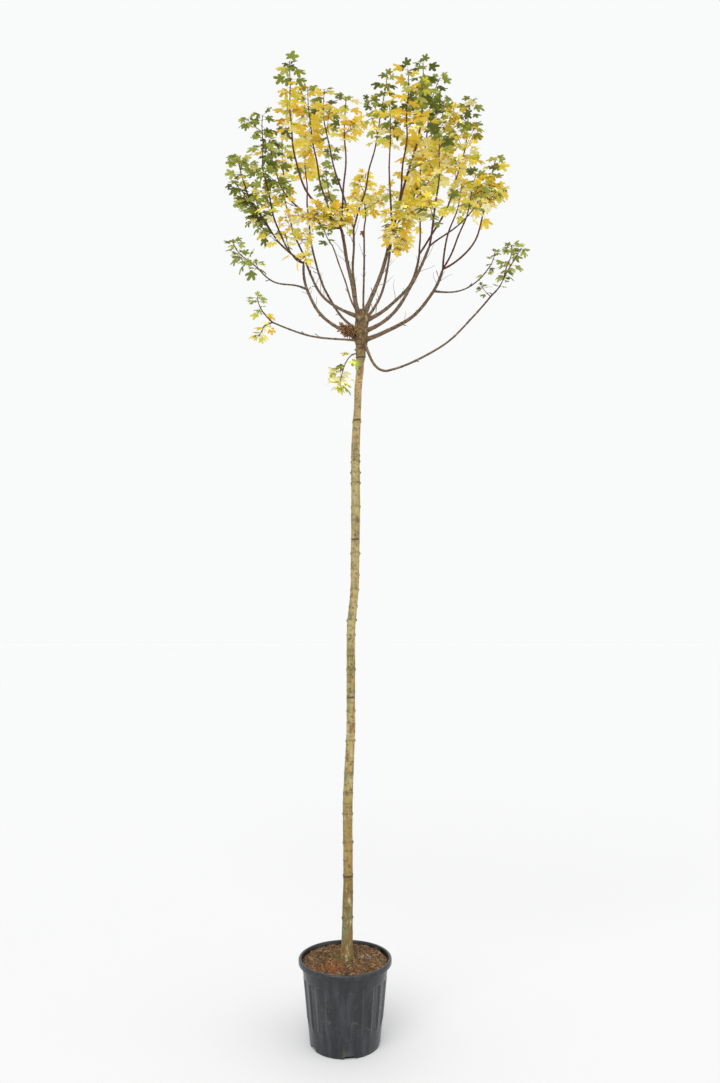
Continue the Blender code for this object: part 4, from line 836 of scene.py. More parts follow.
# leaf pairs set closer than the rule's own step, and odd-coloured leaves among a mass's own
fullness = {
    "centre_left left": 1.05, "left_upper leader": 1.15, "centre_right low": 1.4, "right_rear leader": 1.15,
    "right_upper leader": 1.15, "left_outer outer": 1.1, "trunk twig": 1.2, "left_low hanging": 1.2,
    "left_low climbing": 1.2, "left_side leader": 1.1, "centre_left middle": 1.15, "left_rear leader": 1.05,
    "centre_left front": 1.1, "centre_right left": 1.2, "right_outer front": 1.4, "right_outer outer": 1.3,
    "rear leader": 1.4,
}
strayShare = {"rear_left": 0.12, "right_front": 0.10, "left_outer": 0.10, "right_outer": 0.12, "right_upper": 0.08}
limeShare = {"left_low": 0.35}
strayShare.update(dict.fromkeys(("front_short", "right_side", "right_sweeping", "left_side"), 0.0))
trunkTwig = {"root": 2.590, "row": (212, 5, 0.096, 2.452, -80), "thick": 0.0022, "bare": 0.20, "leaf": 0.86,
             "sprigs": ((0.62, 195.0), (0.92, 260.0))}

limbRule = {
    "bend": 0.38,          # handle of every limb's curve, a share of its chord
    "stub": 0.016,         # stem between a bough's tip and its first fork
    "sway": 0.0035,        # how far a limb wanders off its curve
    "boughSides": 16, "shootSides": 9, "twigSides": 6, "forkRings": 8,
    "bareTwigs": 46, "bareLength": (0.025, 0.085), "cleanBoughs": ("left_low", "front_short", "right_drooping"),
    "boughRing": 0.0062, "nodeEvery": 0.061, "tipRadius": 0.0013, "stout": 1.12, "taper": 1.7,
    "tipLeaf": 0.045,      # the last of a shoot's course is leaf, not wood
    "highRoot": 2.70,      # boughs rooted above it flare more at the foot
    "flare": 0.36, "highFlare": 0.55, "noFlare": "right_sweeping", "boughSway": 0.0022, "branchSway": 0.0018,
    "spurless": 0.55,      # share of a bough's nodes without a spur
    "spurLength": (0.008, 0.034),
}


# a limb's curve: a cubic whose handles, bend x chord long, follow the first and last rise in the
# upright plane of its heading
def limbCourse(start, row, count=64):
    heading, rise, reach, top, tipRise = row
    end = np.array([start[0], start[1], top]) + compass(heading, 0.0) * reach
    handle = limbRule["bend"] * np.linalg.norm(end - start)
    near = start + compass(heading, rise) * handle
    far = end - compass(heading, tipRise) * handle
    t = np.linspace(0.0, 1.0, count)[:, None]
    s = 1.0 - t
    return start * s ** 3 + near * 3 * s * s * t + far * 3 * s * t * t + end * t ** 3


# run along a course, point by point
def runAlong(course):
    return np.concatenate([[0.0], np.cumsum(np.linalg.norm(np.diff(course, axis=0), axis=1))])


# whole length of a course
def lengthOf(course):
    return runAlong(course)[-1]


# points of a course at given runs
def pointsAt(course, runs):
    run = runAlong(course)
    return np.stack([np.interp(runs, run, course[:, k]) for k in range(3)], -1)


# unit direction of a course at runs, from just before to just after
def directionsAt(course, runs, reach=0.004):
    ahead = pointsAt(course, np.minimum(runs + reach, lengthOf(course)))
    return unit(ahead - pointsAt(course, np.maximum(runs - reach, 0.0)))


# point and direction at one run, or at a share of the whole length
def spotAt(course, run=None, share=None):
    run = np.array([share * lengthOf(course) if run is None else run])
    return pointsAt(course, run)[0], directionsAt(course, run)[0]


# a random unit way square to a direction
def squareTo(along, rng):
    return unit(np.cross(along, unit(rng.normal(size=3))))


# a slow wander off the course, nothing at its two ends: two sine waves of random phase
def swayed(course, rng, amount):
    run = runAlong(course)
    share = run / run[-1]
    window = np.clip(4.0 * share * (1.0 - share), 0.0, 1.0)[:, None]
    along = unit(np.gradient(course, axis=0))
    side = unit(np.cross(along, np.array([0.31, 0.52, 0.79])))
    waves = [np.sin(run[:, None] * rng.uniform(14.0, 34.0) + rng.uniform(0.0, 6.28)) for _ in range(2)]
    return course + window * amount * (side * waves[0] + np.cross(along, side) * waves[1])


# a round limb: ring centre + radius x (cosine x side + sine x other), the side vector kept square
# to the course; both ends close on a point
def limbTube(course, radii, sides, runs=None):
    runs = runAlong(course) if runs is None else runs
    centre, along = pointsAt(course, runs), directionsAt(course, runs)
    first = unit(np.cross(course[-1] - course[0], upward) + np.array([1e-5, 2e-5, 0.0]))
    side = unit(first - along * np.sum(along * first, -1, keepdims=True))
    radii = radii[:, None] if radii.ndim == 1 else radii
    rings = centre[:, None] + spokesRound(side, np.cross(along, side), roundAngles(sides)) * radii[..., None]
    points = np.concatenate([rings.reshape(-1, 3), centre[:1], centre[-1:] + along[-1:] * radii[-1].mean()])
    return points, gridQuads(len(rings), sides), endCaps(len(rings), sides)


# a short straight peg of six rings, radii in millimetres
def peg(start, end, radii, sides):
    line = start + (end - start) * np.linspace(0.0, 1.0, 6)[:, None]
    return limbTube(line, np.array(radii) * 0.001, sides)


# runs of a limb's rings: an even step, its end, and more of them round each node
def ringRuns(total, step, nodes, offsets):
    near = (nodes[:, None] + np.array(offsets)).ravel()
    return np.unique(np.clip(np.concatenate([np.arange(0.0, total, step), [total], near]), 0.0, total))


# bark ring swellings of a limb: a small lip at each node run
def nodeLips(runs, nodes, lift, wide):
    return lift * bell(runs[:, None] - nodes[None, :], wide).sum(1)


# boughs and their branches: radius thick + (thin - thick) x share of the run to the power 0.75,
# flared at the foot, with a lip at each node, then short spurs and bare twiglets on them
def growBoughs(rng):
    rule, courses, shapes, spurs, lines = limbRule, {}, [], [], []
    for name, (heading, root, *row) in boughPlan.items():
        courses[name] = (swayed(limbCourse(axisPoint(root), (heading, *row[:4])), rng, rule["boughSway"]), *row[4:])
    for name, (parent, at, *row) in branchPlan.items():
        course, rings = courses[parent][0], rule["forkRings"]
        grid = course[np.round(np.linspace(0, len(course) - 1, rings + 1)).astype(int)]
        k = min(int(at * rings), rings - 1)
        start = grid[k] + (grid[k + 1] - grid[k]) * (at * rings - k)
        courses[name] = (swayed(limbCourse(start, row[:5]), rng, rule["branchSway"]), *row[5:])
    for k, (name, (course, thick, thin)) in enumerate(courses.items()):
        total = lengthOf(course)
        nodes = np.arange(0.045 + rng.uniform(0, 0.02), total - 0.01, rule["nodeEvery"])
        nodes = nodes + rng.uniform(-0.008, 0.008, len(nodes))
        runs = ringRuns(total, rule["boughRing"], nodes, (-0.002, 0.0, 0.002))
        high = name in boughPlan and boughPlan[name][1] > rule["highRoot"]
        flare = 0.0 if name == rule["noFlare"] else rule["highFlare"] if high else rule["flare"]
        size = thick + (thin - thick) * (runs / total) ** 0.75
        size = size * (1.0 + flare * np.exp(-np.maximum(runs - 0.024, 0.0) / (0.030 if high else 0.018)))
        size = size + nodeLips(runs, nodes, 0.12 * thin + 0.0002, 0.0030)
        angle = np.linspace(0.0, 1.0, rule["boughSides"], endpoint=False)[None, :]
        relief = 0.05 * latticeNoise(angle, runs[:, None] * 55.0 + 9.0 * k, 6, 50 + k)
        relief = relief + 0.028 * latticeNoise(angle, runs[:, None] * 160.0, 8, 80 + k)
        shapes.append(limbTube(course, size[:, None] * (1.0 + relief), rule["boughSides"], runs))
        if name in boughPlan and name not in rule["cleanBoughs"]:
            lines.append(course)
        for node in nodes:
            if rng.uniform() < rule["spurless"]:
                continue
            point, along = spotAt(course, node)
            spoke = squareTo(along, rng)
            length = rng.uniform(*rule["spurLength"])
            end = point + unit(spoke + along * 0.7) * length + np.array([0, 0, 0.25 * length])
            spurs.append(peg(point, end, (1.6, 1.3, 1.2, 1.5, 1.9, 0.7), 6))
    for k in range(rule["bareTwigs"]):  # dead twiglets left bare on the outer half of the boughs
        course = lines[k % len(lines)]
        point, along = spotAt(course, share=rng.uniform(0.38, 0.97))
        spoke = squareTo(along, rng)
        length = rng.uniform(*rule["bareLength"])
        way = unit(spoke + along * rng.uniform(0.3, 1.0) + np.array([0.0, 0.0, 0.35]))
        t = np.linspace(0.0, 1.0, 9)[:, None]
        kink = spoke * length * 0.10 * np.sin(5.0 * t + k)
        twig = point + way * length * t + kink * t + np.array([0.0, 0.0, 0.16 * length]) * t * t
        spurs.append(limbTube(twig, np.interp(t[:, 0], [0, 0.1, 1], [0.0017, 0.0011, 0.0005]), 5))
    return courses, joined(shapes), joined(spurs)


# radius of a shoot at a share of its run
def shootRadius(thick, share):
    foot = limbRule["stout"] * thick
    return foot + (limbRule["tipRadius"] - foot) * share ** limbRule["taper"]


leafRule = {
    "internode": 0.047, "shrink": 0.50, "firstPair": 0.016,
    "length": 0.079, "tipLength": 0.067,     # stalk and blade together, low on a shoot and at its tip
    "stalkShare": 0.38, "sizeRange": (0.72, 1.04),
    "tuft": 3, "tuftSize": 0.78, "twigEvery": 3, "twigLength": 0.075, "twigLeaf": 0.86, "twigRise": 0.02,
    "hang": 0.68, "tipHang": 0.16,             # how far blades droop at a shoot's foot and at its tip
    "clear": 0.006, "tries": 6, "greenSpread": 0.12, "stray": 0.05, "standProud": 0.012,
}


# leaf pairs set crosswise up a shoot: runs that shrink towards the tip, a side twig now and then
def leafPlaces(total, bare, rng, withTwigs, full):
    run, runs, twigRuns = max(leafRule["firstPair"], total * bare), [], []
    while run < total * 0.985:
        share = run / total
        if withTwigs and len(runs) % leafRule["twigEvery"] == 1 and share < 0.80:
            twigRuns.append(run)
        runs.append(run)
        run += leafRule["internode"] / full * (1.0 - leafRule["shrink"] * share) * rng.uniform(0.85, 1.15)
    runs += [total * share for share in (0.955, 0.985) if not runs or runs[-1] < total * (share - 0.02)]
    return np.array(runs), twigRuns


# direction and width direction of blades: outwards and up the shoot, then level to drooping
def leafFrames(along, spoke, share, rng):
    count = len(along)
    ahead = spoke + along * rng.uniform(0.10, 0.55, (count, 1))
    low = -leafRule["hang"] + (leafRule["hang"] - leafRule["tipHang"]) * np.clip(share, 0.0, 1.0)
    ahead[:, 2] = ahead[:, 2] * 0.4 + rng.uniform(low, 0.20)
    ahead = unit(ahead)
    up = np.concatenate([rng.uniform(-0.33, 0.33, (count, 2)), np.ones((count, 1))], 1)
    return ahead, unit(np.cross(ahead, up))


# leaves of one shoot as arrays: root, direction, way out, length, share along the shoot, tone;
# pairs stand crosswise up the shoot, and a tuft closes its tip
def shootLeaves(course, bare, scale, thick, rng, greenFrom, stray, withTwigs, offset=0.0, span=1.0, full=1.0, lime=0.0):
    rule, total = leafRule, lengthOf(course)
    runs, twigRuns = leafPlaces(total, bare, rng, withTwigs, full)
    start = rng.uniform(0.0, 180.0)
    pairs, tuft = len(runs), rule["tuft"]
    points, along = pointsAt(course, runs), directionsAt(course, runs)
    side = unit(np.cross(along, np.array([0.62, -0.33, 0.71])))
    other = np.cross(along, side)
    spokes = []
    for flip in (0.0, 180.0):
        turn = np.radians(start + 90.0 * np.arange(pairs) + flip + rng.uniform(-14.0, 14.0, pairs))
        spokes.append(side * np.cos(turn)[:, None] + other * np.sin(turn)[:, None])
    tip = np.repeat(directionsAt(course, np.array([total])), tuft, 0)
    spoke = np.concatenate([*spokes, unit(0.7 * tip + unit(rng.normal(size=(tuft, 3))))])
    root = np.concatenate([points, points, np.repeat(course[-1:], tuft, 0)])
    share = np.concatenate([runs / total, runs / total, np.ones(tuft)])
    spray = np.concatenate([np.arange(pairs), np.arange(pairs), np.full(tuft, pairs)])
    size = rule["length"] + (rule["tipLength"] - rule["length"]) * np.maximum(0.0, share - 0.35) / 0.65
    size = size * scale * rng.uniform(*rule["sizeRange"], len(share)) * np.where(share > 0.999, rule["tuftSize"], 1.0)
    place = offset + share * span
    sprayDraw = rng.uniform(0.0, 1.0, pairs + 1)[spray]
    strayDraw = rng.uniform(0.0, 1.0, len(share))
    green = place + (sprayDraw - 0.5) * 2.0 * rule["greenSpread"] > greenFrom
    return {
        "root": root + spoke * (shootRadius(thick, share) * 0.8)[:, None],
        "along": np.concatenate([along, along, tip]), "spoke": spoke, "size": size, "share": place,
        "green": np.where(strayDraw < stray, ~green, green),
        "draw": rng.uniform(0.0, 1.0, pairs + 1)[spray], "lime": np.full(len(size), lime),
    }, twigRuns


# a side twig: leaves its shoot squarely, sags a little and turns up at its end
def twigCourse(point, way, reach):
    end = point + way * reach + np.array([0.0, 0.0, leafRule["twigRise"]])
    middle = (point + end) / 2.0 - np.array([0.0, 0.0, 0.006])
    t = np.linspace(0.0, 1.0, 9)[:, None]
    return point * (1 - t) ** 2 + middle * 2 * t * (1 - t) + end * t * t


# the crown: shoots out of each bough's tip or of an earlier shoot, with leaf pairs and side twigs
# by rule, then the sprigs placed one by one and the twig under the graft
def growCrown(courses, rng):
    rule, shoots, twigs, leaves, cloud, grown, lines = limbRule, [], [], [], [], [], {}

    def thicken(line, thick):  # points with a radius, for leaves to stay clear of
        cloud.append(np.concatenate([line, np.full((len(line), 1), thick)], 1))

    # one side twig with its leaves, placed at a share of its shoot
    def addTwig(mass, twig, leaf, greenFrom, share, full=1.0, lime=0.0):
        twigs.append(limbTube(twig, np.linspace(0.0016, 0.0008, len(twig)), rule["twigSides"]))
        thicken(twig, 0.0015)
        stray = strayShare.get(mass, leafRule["stray"])
        leaves.append(shootLeaves(twig, 0.32, leaf, 0.0016, rng, greenFrom, stray, False, share, 0.10, full, lime)[0])

    for course, thick, _ in courses.values():
        thicken(course[::2], thick)
    for mass, rows in shootPlan.items():
        course = courses[mass][0]
        start, ahead = course[-1], spotAt(course, share=1.0)[1]
        stub = np.array([start - ahead * 0.004, start + ahead * 0.008, start + ahead * 0.016])
        widest = max(row[8] for row in rows)
        shoots.append(limbTube(stub, np.array([1.15, 1.1, 0.9]) * widest, rule["shootSides"]))
        for label, parent, at, heading, rise, reach, top, tipRise, wide, bare, leaf, greenFrom in rows:
            begin = start + ahead * rule["stub"] * 0.55
            if parent != "tip":
                begin = spotAt(lines[mass, parent], share=at)[0]
            line = limbCourse(begin, (heading, rise, reach, top, tipRise), 96)
            total = lengthOf(line)
            wood = 1.0 - min(rule["tipLeaf"] * leaf ** 2 / total, 0.3)
            line = swayed(pointsAt(line, np.linspace(0.0, total * wood, 96)), rng, rule["sway"])
            lines[mass, label] = line
            grown.append((mass, label, line, wide, bare, leaf, greenFrom))
            thicken(line[::2], wide)
    for mass, label, line, wide, bare, leaf, greenFrom in grown:
        total, stray = lengthOf(line), strayShare.get(mass, leafRule["stray"])
        crop, twigRuns = shootLeaves(line, bare, leaf, wide, rng, greenFrom, stray, total > 0.2, 0.0, 1.0,
                                     fullness.get(f"{mass} {label}", 1.0), limeShare.get(mass, 0.0))
        leaves.append(crop)
        low = np.arange(0.03, total * max(bare, 0.05), 0.055)
        nodes = np.unique(np.round(crop["share"][:-1] * total, 4))
        nodes = np.concatenate([low + rng.uniform(-0.006, 0.006, len(low)), nodes])
        runs = ringRuns(total, 0.014, nodes, (-0.005, -0.002, 0.0, 0.002, 0.005))
        size = shootRadius(wide, runs / total) + nodeLips(runs, nodes, 0.00060, 0.0026)
        shoots.append(limbTube(line, size, rule["shootSides"], runs))
        for run in twigRuns:
            point, along = spotAt(line, run)
            spoke = squareTo(along, rng)
            reach = leafRule["twigLength"] * rng.uniform(0.5, 1.15) * (1.0 - 0.35 * run / total)
            twig = twigCourse(point, unit(spoke * 0.85 + along * 0.55), reach)
            addTwig(mass, twig, leaf * leafRule["twigLeaf"], greenFrom, run / total)
    for mass, label, *sprigs in sprigPlan:
        line = lines[mass, label]
        for at, heading, rise, length, leaf, *greenFrom in sprigs:
            twig = twigCourse(spotAt(line, share=at)[0], compass(heading, rise), length)
            addTwig(mass, twig, leaf * leafRule["twigLeaf"], (*greenFrom, allGold)[0], 0.5, 1.5)
    p = trunkTwig
    line = limbCourse(axisPoint(p["root"]), p["row"], 40)
    shoots.append(limbTube(line, shootRadius(p["thick"], np.linspace(0, 1, 40)), 8))
    leaves.append(shootLeaves(line, p["bare"], p["leaf"], 0.002, rng, allGold, 0.12, False, lime=0.8)[0])
    for share, heading in p["sprigs"]:
        twig = twigCourse(spotAt(line, share=share)[0], compass(heading, -55.0), 0.045)
        addTwig("trunk_twig", twig, p["leaf"], allGold, 0.5, lime=0.6)
    return joined(shoots), joined(twigs), leaves, np.concatenate(cloud)


# leaves
leafShape = {
    "centre": 0.12,                              # fan centre, a share of the blade from its stalk
    "bounds": (-138.0, -74.0, -25.0, 25.0, 74.0, 138.0),   # the five lobes lie between these headings
    "lengths": (0.45, 0.77, 0.88, 0.77, 0.45),
    "sinus": (0.24, 0.33, 0.44, 0.44, 0.33, 0.24),
    "profile": ((0.0, 0.0), (0.18, 0.52), (0.31, 0.90), (0.50, 1.0), (0.69, 0.90), (0.82, 0.52)),
    "notch": (180.0, 0.115),
    "ring": 0.52,
}


# outline radius by angle: five lobes, each rising from the sinus beside it to the lobe's length
# by the same blunt-shouldered profile, and a notch at the stalk
def leafTemplate(p):
    t, rise = np.array(p["profile"]).T
    low, high = np.array(p["bounds"][:-1])[:, None], np.array(p["bounds"][1:])[:, None]
    sinus, length = np.array(p["sinus"])[:, None], np.array(p["lengths"])[:, None]
    floor = sinus[:-1] * (1 - t) + sinus[1:] * t
    angle = np.radians(np.concatenate([(low + (high - low) * t).ravel(), [p["bounds"][-1], p["notch"][0]]]))
    radius = np.concatenate([(floor + (length - floor) * rise).ravel(), [p["sinus"][-1], p["notch"][1]]])
    ridge = np.concatenate([np.tile(rise, len(length)), [0.0, 0.0]])
    rings = [np.stack([p["centre"] + reach * np.cos(angle), reach * np.sin(angle)], -1)
             for reach in (radius * p["ring"], radius)]
    crease = np.concatenate([[0.0], -0.045 * (ridge - 0.45), -0.02 * (ridge - 0.45)])
    count = len(angle)
    k = 1 + np.arange(count)
    n = k % count + 1
    quads = np.stack([k, count + k, count + n, n], -1)
    return np.concatenate([[(p["centre"], 0.0)], *rings]), crease, quads, np.stack([np.zeros(count, int), k, n], -1)


# blades: centre + blade x (ahead x + across y + face z), z falls with the square of the reach,
# folds down either side of the midrib and dips along each lobe's vein
def bladeShapes(template, crop, rng):
    flat, crease, quads, triangles = template
    ahead, across, size = crop["ahead"], crop["across"], crop["size"]
    face = np.cross(ahead, across)
    x, y, droop, fold, twist = (rng.uniform(low, high, (len(size), 1)) for low, high in (
        (0.94, 1.06), (0.90, 1.10), (0.05, 0.45), (-0.10, 0.40), (-0.35, 0.35)))
    x, y = flat[None, :, 0] * x, flat[None, :, 1] * y
    z = -droop * (x * x + 0.5 * y * y) - fold * np.abs(y) + twist * x * y + crease[None]
    z = (z + 0.02 * rng.normal(size=x.shape)) * np.where(face[:, 2:3] < 0.0, -1.0, 1.0)
    blade = (size * (1.0 - leafRule["stalkShare"]))[:, None, None]
    base = crop["root"] + ahead * (size * leafRule["stalkShare"])[:, None]
    points = base[:, None] + blade * (
        ahead[:, None] * x[..., None] + across[:, None] * y[..., None] + face[:, None] * z[..., None])
    return repeated(points, quads, triangles)


# stalks: a thin four-sided tube from the shoot to the blade, sagging by a parabola
def stalkShapes(crop):
    t = np.linspace(0.0, 1.0, 5)[None, :, None]
    length = (crop["size"] * (leafRule["stalkShare"] + 0.03))[:, None, None]
    line = crop["root"][:, None] - crop["spoke"][:, None] * 0.0015 + crop["ahead"][:, None] * length * t
    line = line + crop["along"][:, None] * (4.0 * t * (1.0 - t)) * length * 0.10
    spokes = spokesRound(crop["across"], np.cross(crop["ahead"], crop["across"]), roundAngles(4))
    radius = np.array([0.0011, 0.00075, 0.0007, 0.0007, 0.0008])[None, :, None, None]
    quads = np.concatenate([gridQuads(5, 4), [(1, 0, 3, 2), (16, 17, 18, 19)]])
    return repeated(line[:, :, None] + spokes[:, None] * radius, quads)


# buds in the leaf axils: four rings of five, pointed at both ends
def budShapes(crop, rng):
    ahead = unit(crop["along"] + crop["spoke"] * 0.5)
    side = unit(np.cross(ahead, crop["across"]))
    profile = np.array([(0.0, 0.3), (0.25, 1.0), (0.6, 0.8), (1.0, 0.1)])
    length = rng.uniform(0.0032, 0.0055, len(ahead))[:, None, None]
    line = crop["root"][:, None] + ahead[:, None] * profile[None, :, 0:1] * length
    spokes = spokesRound(side, np.cross(ahead, side), roundAngles(5))
    points = line[:, :, None] + spokes[:, None] * (profile[:, 1] * 0.0013)[None, :, None, None]
    fan = np.array([(4, 3, 2), (4, 2, 1), (4, 1, 0), (15, 16, 17), (15, 17, 18), (15, 18, 19)])
    return repeated(points, gridQuads(4, 5), fan)


# how far leaf tips stand past the solids' box
def proudOf(crop, ahead):
    tip = crop["root"] + ahead * crop["size"][:, None]
    return np.maximum(np.array(cadBox[0]) - tip, tip - np.array(cadBox[1])).max(1)


# turns leaves that would touch a limb: of several tries the first that stays clear, else the clearest
def settleLeaves(crop, cloud, rng):
    root, size, rule = crop["root"], crop["size"][:, None], leafRule
    best, ahead, across = np.full(len(root), -1.0), np.zeros_like(root), np.zeros_like(root)
    for _ in range(rule["tries"]):
        tryAhead, tryAcross = leafFrames(crop["along"], crop["spoke"], crop["share"], rng)
        spots = [root + tryAhead * (size * reach) for reach in (0.55, 0.75, 0.98)]
        spots += [root + tryAhead * (size * 0.62) + way * tryAcross * (size * 0.27) for way in (1.0, -1.0)]
        gap = np.full(len(root), 1e9)
        for spot in spots:
            away = np.linalg.norm(spot[:, None] - cloud[None, :, :3], axis=-1) - cloud[None, :, 3]
            gap = np.minimum(gap, away.min(1))
        gap = np.where(proudOf(crop, tryAhead) > rule["standProud"], -0.5, gap)
        better = (best < rule["clear"]) & (gap > best)
        ahead[better], across[better], best[better] = tryAhead[better], tryAcross[better], gap[better]
    proud = proudOf(crop, ahead) - rule["standProud"]
    crop["size"] = crop["size"] * np.clip(1.0 - proud / crop["size"], 0.55, 1.0)
    crop["ahead"], crop["across"] = ahead, across


leafTints = {  # plain base colours, dealt out by spray: tone, share from, share to
    "gold": {
        "gold_bright": ((0.99, 0.80, 0.110), 0.00, 0.27), "gold_warm": ((0.96, 0.69, 0.070), 0.27, 0.43),
        "gold_deep": ((0.72, 0.51, 0.045), 0.43, 0.52), "gold_orange": ((0.80, 0.48, 0.035), 0.52, 0.56),
        "gold_pale": ((0.98, 0.88, 0.330), 0.56, 0.78), "gold_cream": ((0.97, 0.91, 0.560), 0.78, 0.88),
        "lime": ((0.72, 0.70, 0.080), 0.88, 1.00),
    },
    "green": {
        "green_pale": ((0.540, 0.580, 0.130), 0.00, 0.18), "green_light": ((0.365, 0.415, 0.070), 0.18, 0.48),
        "green_mid": ((0.235, 0.280, 0.040), 0.48, 0.80), "green_dark": ((0.130, 0.158, 0.024), 0.80, 1.00),
    },
}


# a leaf's tone with a faint vein relief
def leafFinish(name, tone):
    material, tree, shader, place = newMaterial(name, 0.55, tone, 0.35)
    veins = mottled(tree, place, 210.0, 0.5, 0.3)
    varyRoughness(tree, shader, veins["Mask"], 0.48, 0.68)
    addBump(tree, shader, veins["Height"], 0.35, 0.0012)
    return material


# all leaves settled clear of the wood, then dealt out to the tones by their spray's draw
def makeFoliage(leaves, cloud, rng):
    crop = {key: np.concatenate([part[key] for part in leaves]) for key in leaves[0]}
    settleLeaves(crop, cloud, rng)
    template = leafTemplate(leafShape)
    draw = np.clip(crop["draw"] + rng.uniform(-0.16, 0.16, len(crop["draw"])), 0.0, 0.999)
    limed = rng.uniform(0.0, 1.0, len(draw)) < crop["lime"]
    draw = np.where(limed, np.where(crop["green"], 0.40 * crop["draw"], 0.80 + 0.19 * crop["draw"]), draw)
    for family, tints in leafTints.items():
        for name, (tone, low, high) in tints.items():
            chosen = (crop["green"] == (family == "green")) & (draw >= low) & (draw < high)
            shape = bladeShapes(template, {key: value[chosen] for key, value in crop.items()}, rng)
            makePiece("leaves_" + name, shape, leafFinish("leaf_" + name, tone), foliageNodes)
    stalks = newMaterial("leafStalk", 0.6, (0.46, 0.33, 0.085))[0]
    makePiece("leaf_stalks", stalkShapes(crop), stalks, foliageNodes)
    buds = newMaterial("budScale", 0.6, (0.11, 0.052, 0.030))[0]
    makePiece("buds", budShapes(crop, rng), buds, foliageNodes)
    print("leaves:", len(crop["size"]), "green:", int(crop["green"].sum()))


barkAge = {"centre": (0.061, 0.0, 2.70), "near": 0.06, "far": 0.60}


# bark of the limbs: a tone near the head that turns to another with the distance from it,
# broken by dark mottles and pale pores
def limbFinish(name, near, far, dark, pale, scale):
    material, tree, shader, place = newMaterial(name, 0.78, near)
    away = addNode(tree, "ShaderNodeVectorMath", {1: barkAge["centre"]}, operation="DISTANCE")
    tree.links.new(place, away.inputs[0])
    limits = {"From Min": barkAge["near"], "From Max": barkAge["far"]}
    age = rangeOf(tree, away.outputs["Value"], limits, interpolation_type="SMOOTHSTEP")
    coarse = mottled(tree, place, scale, 0.56, 0.08, mixTones(tree, age, near, far), dark)
    patchy = mottled(tree, place, scale * 0.45, 0.64, 0.06, coarse["Color"], pale)
    tree.links.new(speckled(tree, place, 260.0, 0.20, patchy["Color"], pale), shader.inputs["Base Color"])
    varyRoughness(tree, shader, coarse["Mask"], 0.66, 0.88)
    addBump(tree, shader, mottled(tree, place, 420.0, 0.5, 0.3)["Height"], 0.5, 0.0008)
    return material


# old spurs and the knuckled head
spurShape = {
    "heading": 206.0, "height": 2.678, "foot": 0.024, "reach": 0.088, "core": 0.0100, "scales": 300,
    "scaleLong": 0.021, "stubs": 20,
}
headShape = {
    "low": 2.600, "high": 2.764, "stubs": 54, "scales": 110, "thick": (0.0020, 0.0044), "proud": (0.002, 0.008),
    "scaleLong": 0.010,
}
barkTones = {  # near the head, far from it, mottles, pores, scale of the mottles
    "boughBark": ((0.178, 0.122, 0.070), (0.092, 0.056, 0.034), (0.045, 0.029, 0.019), (0.30, 0.23, 0.155), 130.0),
    "shootBark": ((0.120, 0.058, 0.033), (0.094, 0.034, 0.020), (0.044, 0.018, 0.012), (0.20, 0.105, 0.060), 160.0),
    "dryScale": ((0.440, 0.255, 0.120), (0.30, 0.15, 0.070), (0.070, 0.034, 0.018), (0.64, 0.46, 0.27), 150.0),
    "spurBark": ((0.170, 0.088, 0.042), (0.10, 0.05, 0.026), (0.030, 0.017, 0.010), (0.42, 0.27, 0.14), 200.0),
    "knuckleBark": ((0.260, 0.160, 0.075), (0.22, 0.130, 0.062), (0.060, 0.034, 0.018), (0.40, 0.28, 0.15), 200.0),
}


# dry bud scales: each a pointed strip, width x sine of its length, curling back from its foot
def budScales(foot, spoke, out, longest, rng):
    count = len(foot)
    ahead = unit(spoke + out * rng.uniform(-0.3, 1.3, (count, 1)) + 0.35 * rng.normal(size=(count, 3)))
    across = unit(np.cross(ahead, rng.normal(size=(count, 3))))
    v, u = np.meshgrid(np.linspace(0.0, 1.0, 5), np.linspace(-1.0, 1.0, 3), indexing="ij")
    length = rng.uniform(0.35 * longest, longest, count)[:, None, None]
    wide = length * rng.uniform(0.18, 0.34, (count, 1, 1))
    curl = rng.uniform(-0.5, 0.5, (count, 1, 1))
    forward, sideways = length * v, wide * u * np.sin(math.pi * (0.18 + 0.80 * v))
    lift = length * (curl * v * v - 0.12 * u * u)
    points = foot[:, None, None] + sum(
        way[:, None, None] * run[..., None]
        for way, run in ((ahead, forward), (across, sideways), (np.cross(ahead, across), lift)))
    return repeated(points, gridQuads(5, 3, False))


# foot, way out and sideways of the spur
def spurFrame(p):
    out = compass(p["heading"], 0.0)
    return axisPoint(p["height"]), out, np.array([-out[1], out[0], 0.0])


# scales spread round the spur's own axis
def spurScales(p, rng):
    start, out, side = spurFrame(p)
    share, turn = rng.uniform(0.05, 1.0, p["scales"]), rng.uniform(0.0, fullTurn, p["scales"])
    spoke = side * np.cos(turn)[:, None] + upward * np.sin(turn)[:, None]
    away = (p["core"] * rng.uniform(0.5, 1.5, p["scales"]))[:, None]
    foot = start + out * (p["foot"] + share * (p["reach"] - p["foot"]))[:, None] + spoke * away
    return budScales(foot, spoke, out, p["scaleLong"], rng)


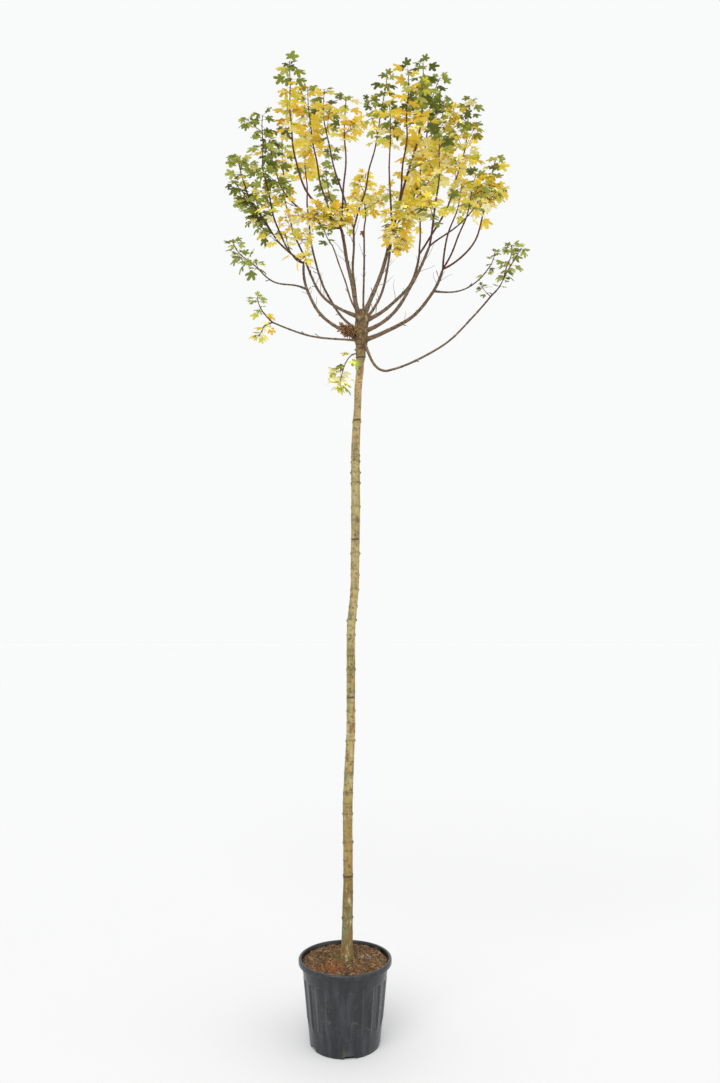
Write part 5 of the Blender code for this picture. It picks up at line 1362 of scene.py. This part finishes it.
# the spur's lumpy core and the pegs set round it
def spurStubs(p, rng):
    start, out, side = spurFrame(p)
    line = start + out * np.linspace(0.010, p["reach"], 14)[:, None]
    angle = np.linspace(0.0, 1.0, 14, endpoint=False)[None, :]
    size = p["core"] * np.interp(np.linspace(0, 1, 14), [0, 0.3, 0.55, 0.85, 1.0], [0.9, 0.75, 1.1, 0.95, 0.45])
    size = size[:, None] * (1.0 + 0.22 * latticeNoise(angle, runAlong(line)[:, None] * 90.0, 6, 61))
    shapes = [limbTube(line, size, 14)]
    for k in range(p["stubs"]):
        foot = start + out * (0.030 + 0.055 * k / p["stubs"])
        spoke = side * math.cos(2.4 * k) + upward * math.sin(2.4 * k)
        end = foot + unit(spoke + out * rng.uniform(0.0, 0.9)) * rng.uniform(0.014, 0.031)
        shapes.append(peg(foot, end, (3.6, 2.6, 2.0, 1.8, 1.9, 1.0), 8))
    return joined(shapes)


# places spread over the head's side: feet on its surface and the way out from its axis
def headPlaces(p, count, rng):
    height, turn = rng.uniform(p["low"], p["high"], count), rng.uniform(0.0, fullTurn, count)
    across, radius = trunkAt(height)
    return roundPoints(radius * 0.93, turn, height, across), roundPoints(1.0, turn, 0.0)


# knuckles left where shoots were cut back: short blunt pegs, widest at the cut
def headStubs(p, rng):
    foot, spoke = headPlaces(p, p["stubs"], rng)
    ways = unit(spoke + upward * rng.uniform(-0.1, 1.0, len(foot))[:, None])
    thick, proud = rng.uniform(*p["thick"], len(foot)), rng.uniform(*p["proud"], len(foot))
    shapes = []
    for start, way, wide, tall in zip(foot, ways, thick, proud):
        line = start - way * 0.004 + way * (tall + 0.004) * np.linspace(0.0, 1.0, 6)[:, None]
        shapes.append(limbTube(line, np.array([1.25, 1.05, 0.90, 1.0, 1.10, 0.80]) * wide, 9))
    return joined(shapes)


# one curled brown leaf caught in the crown
brownLeaf = {"root": (0.058, -0.058, 3.085), "ahead": (0.25, -0.35, -0.9), "across": (0.9, 0.3, 0.13),
             "size": 0.046, "curl": (0.62, 0.62, 0.9), "tone": (0.170, 0.045, 0.024)}


# a leaf blade drawn in towards its middle by the curl
def deadLeaf(p, rng):
    crop = {"root": np.array([p["root"]]), "ahead": unit(np.array([p["ahead"]])),
            "across": unit(np.array([p["across"]])), "size": np.array([p["size"]])}
    points, quads, triangles = bladeShapes(leafTemplate(leafShape), crop, rng)
    middle = points.mean(0)
    return middle + (points - middle) * np.array(p["curl"]), quads, triangles


treeSeed = 4107


# the tree's pieces, in the order in which their random numbers are drawn
def makeTree():
    rng = np.random.default_rng(treeSeed)
    barks = {name: limbFinish(name, *tones) for name, tones in barkTones.items()}
    stem, scarsAndCreviceShade = trunkSurface(trunkShape, [(row[0], row[1], row[6]) for row in boughPlan.values()])
    makePiece("stem_bark", stem, trunkFinish(trunkShape), ["trunk"], marks={"scarsAndCreviceShade": scarsAndCreviceShade})
    courses, boughs, spurs = growBoughs(rng)
    makePiece("bough_bark", boughs, barks["boughBark"], boughNodes)
    makePiece("bough_spurs", spurs, barks["boughBark"], boughNodes)
    shoots, twigs, leaves, cloud = growCrown(courses, rng)
    makePiece("shoots", shoots, barks["shootBark"], foliageNodes)
    makePiece("side_twigs", twigs, barks["shootBark"], foliageNodes)
    makeFoliage(leaves, cloud, rng)
    makePiece("spur_core", spurStubs(spurShape, rng), barks["spurBark"], ["spur_cluster"])
    makePiece("spur_scales", spurScales(spurShape, rng), barks["dryScale"], ["spur_cluster"])
    makePiece("head_knuckles", headStubs(headShape, rng), barks["knuckleBark"], ["trunk"])
    scales = budScales(*headPlaces(headShape, headShape["scales"], rng), upward * 0.6, headShape["scaleLong"], rng)
    makePiece("head_scales", scales, barks["knuckleBark"], ["trunk"])
    brown = leafFinish("leaf_dead", brownLeaf["tone"])
    makePiece("leaf_dead", deadLeaf(brownLeaf, rng), brown, foliageNodes)
    print("tree grown")


makeTree()
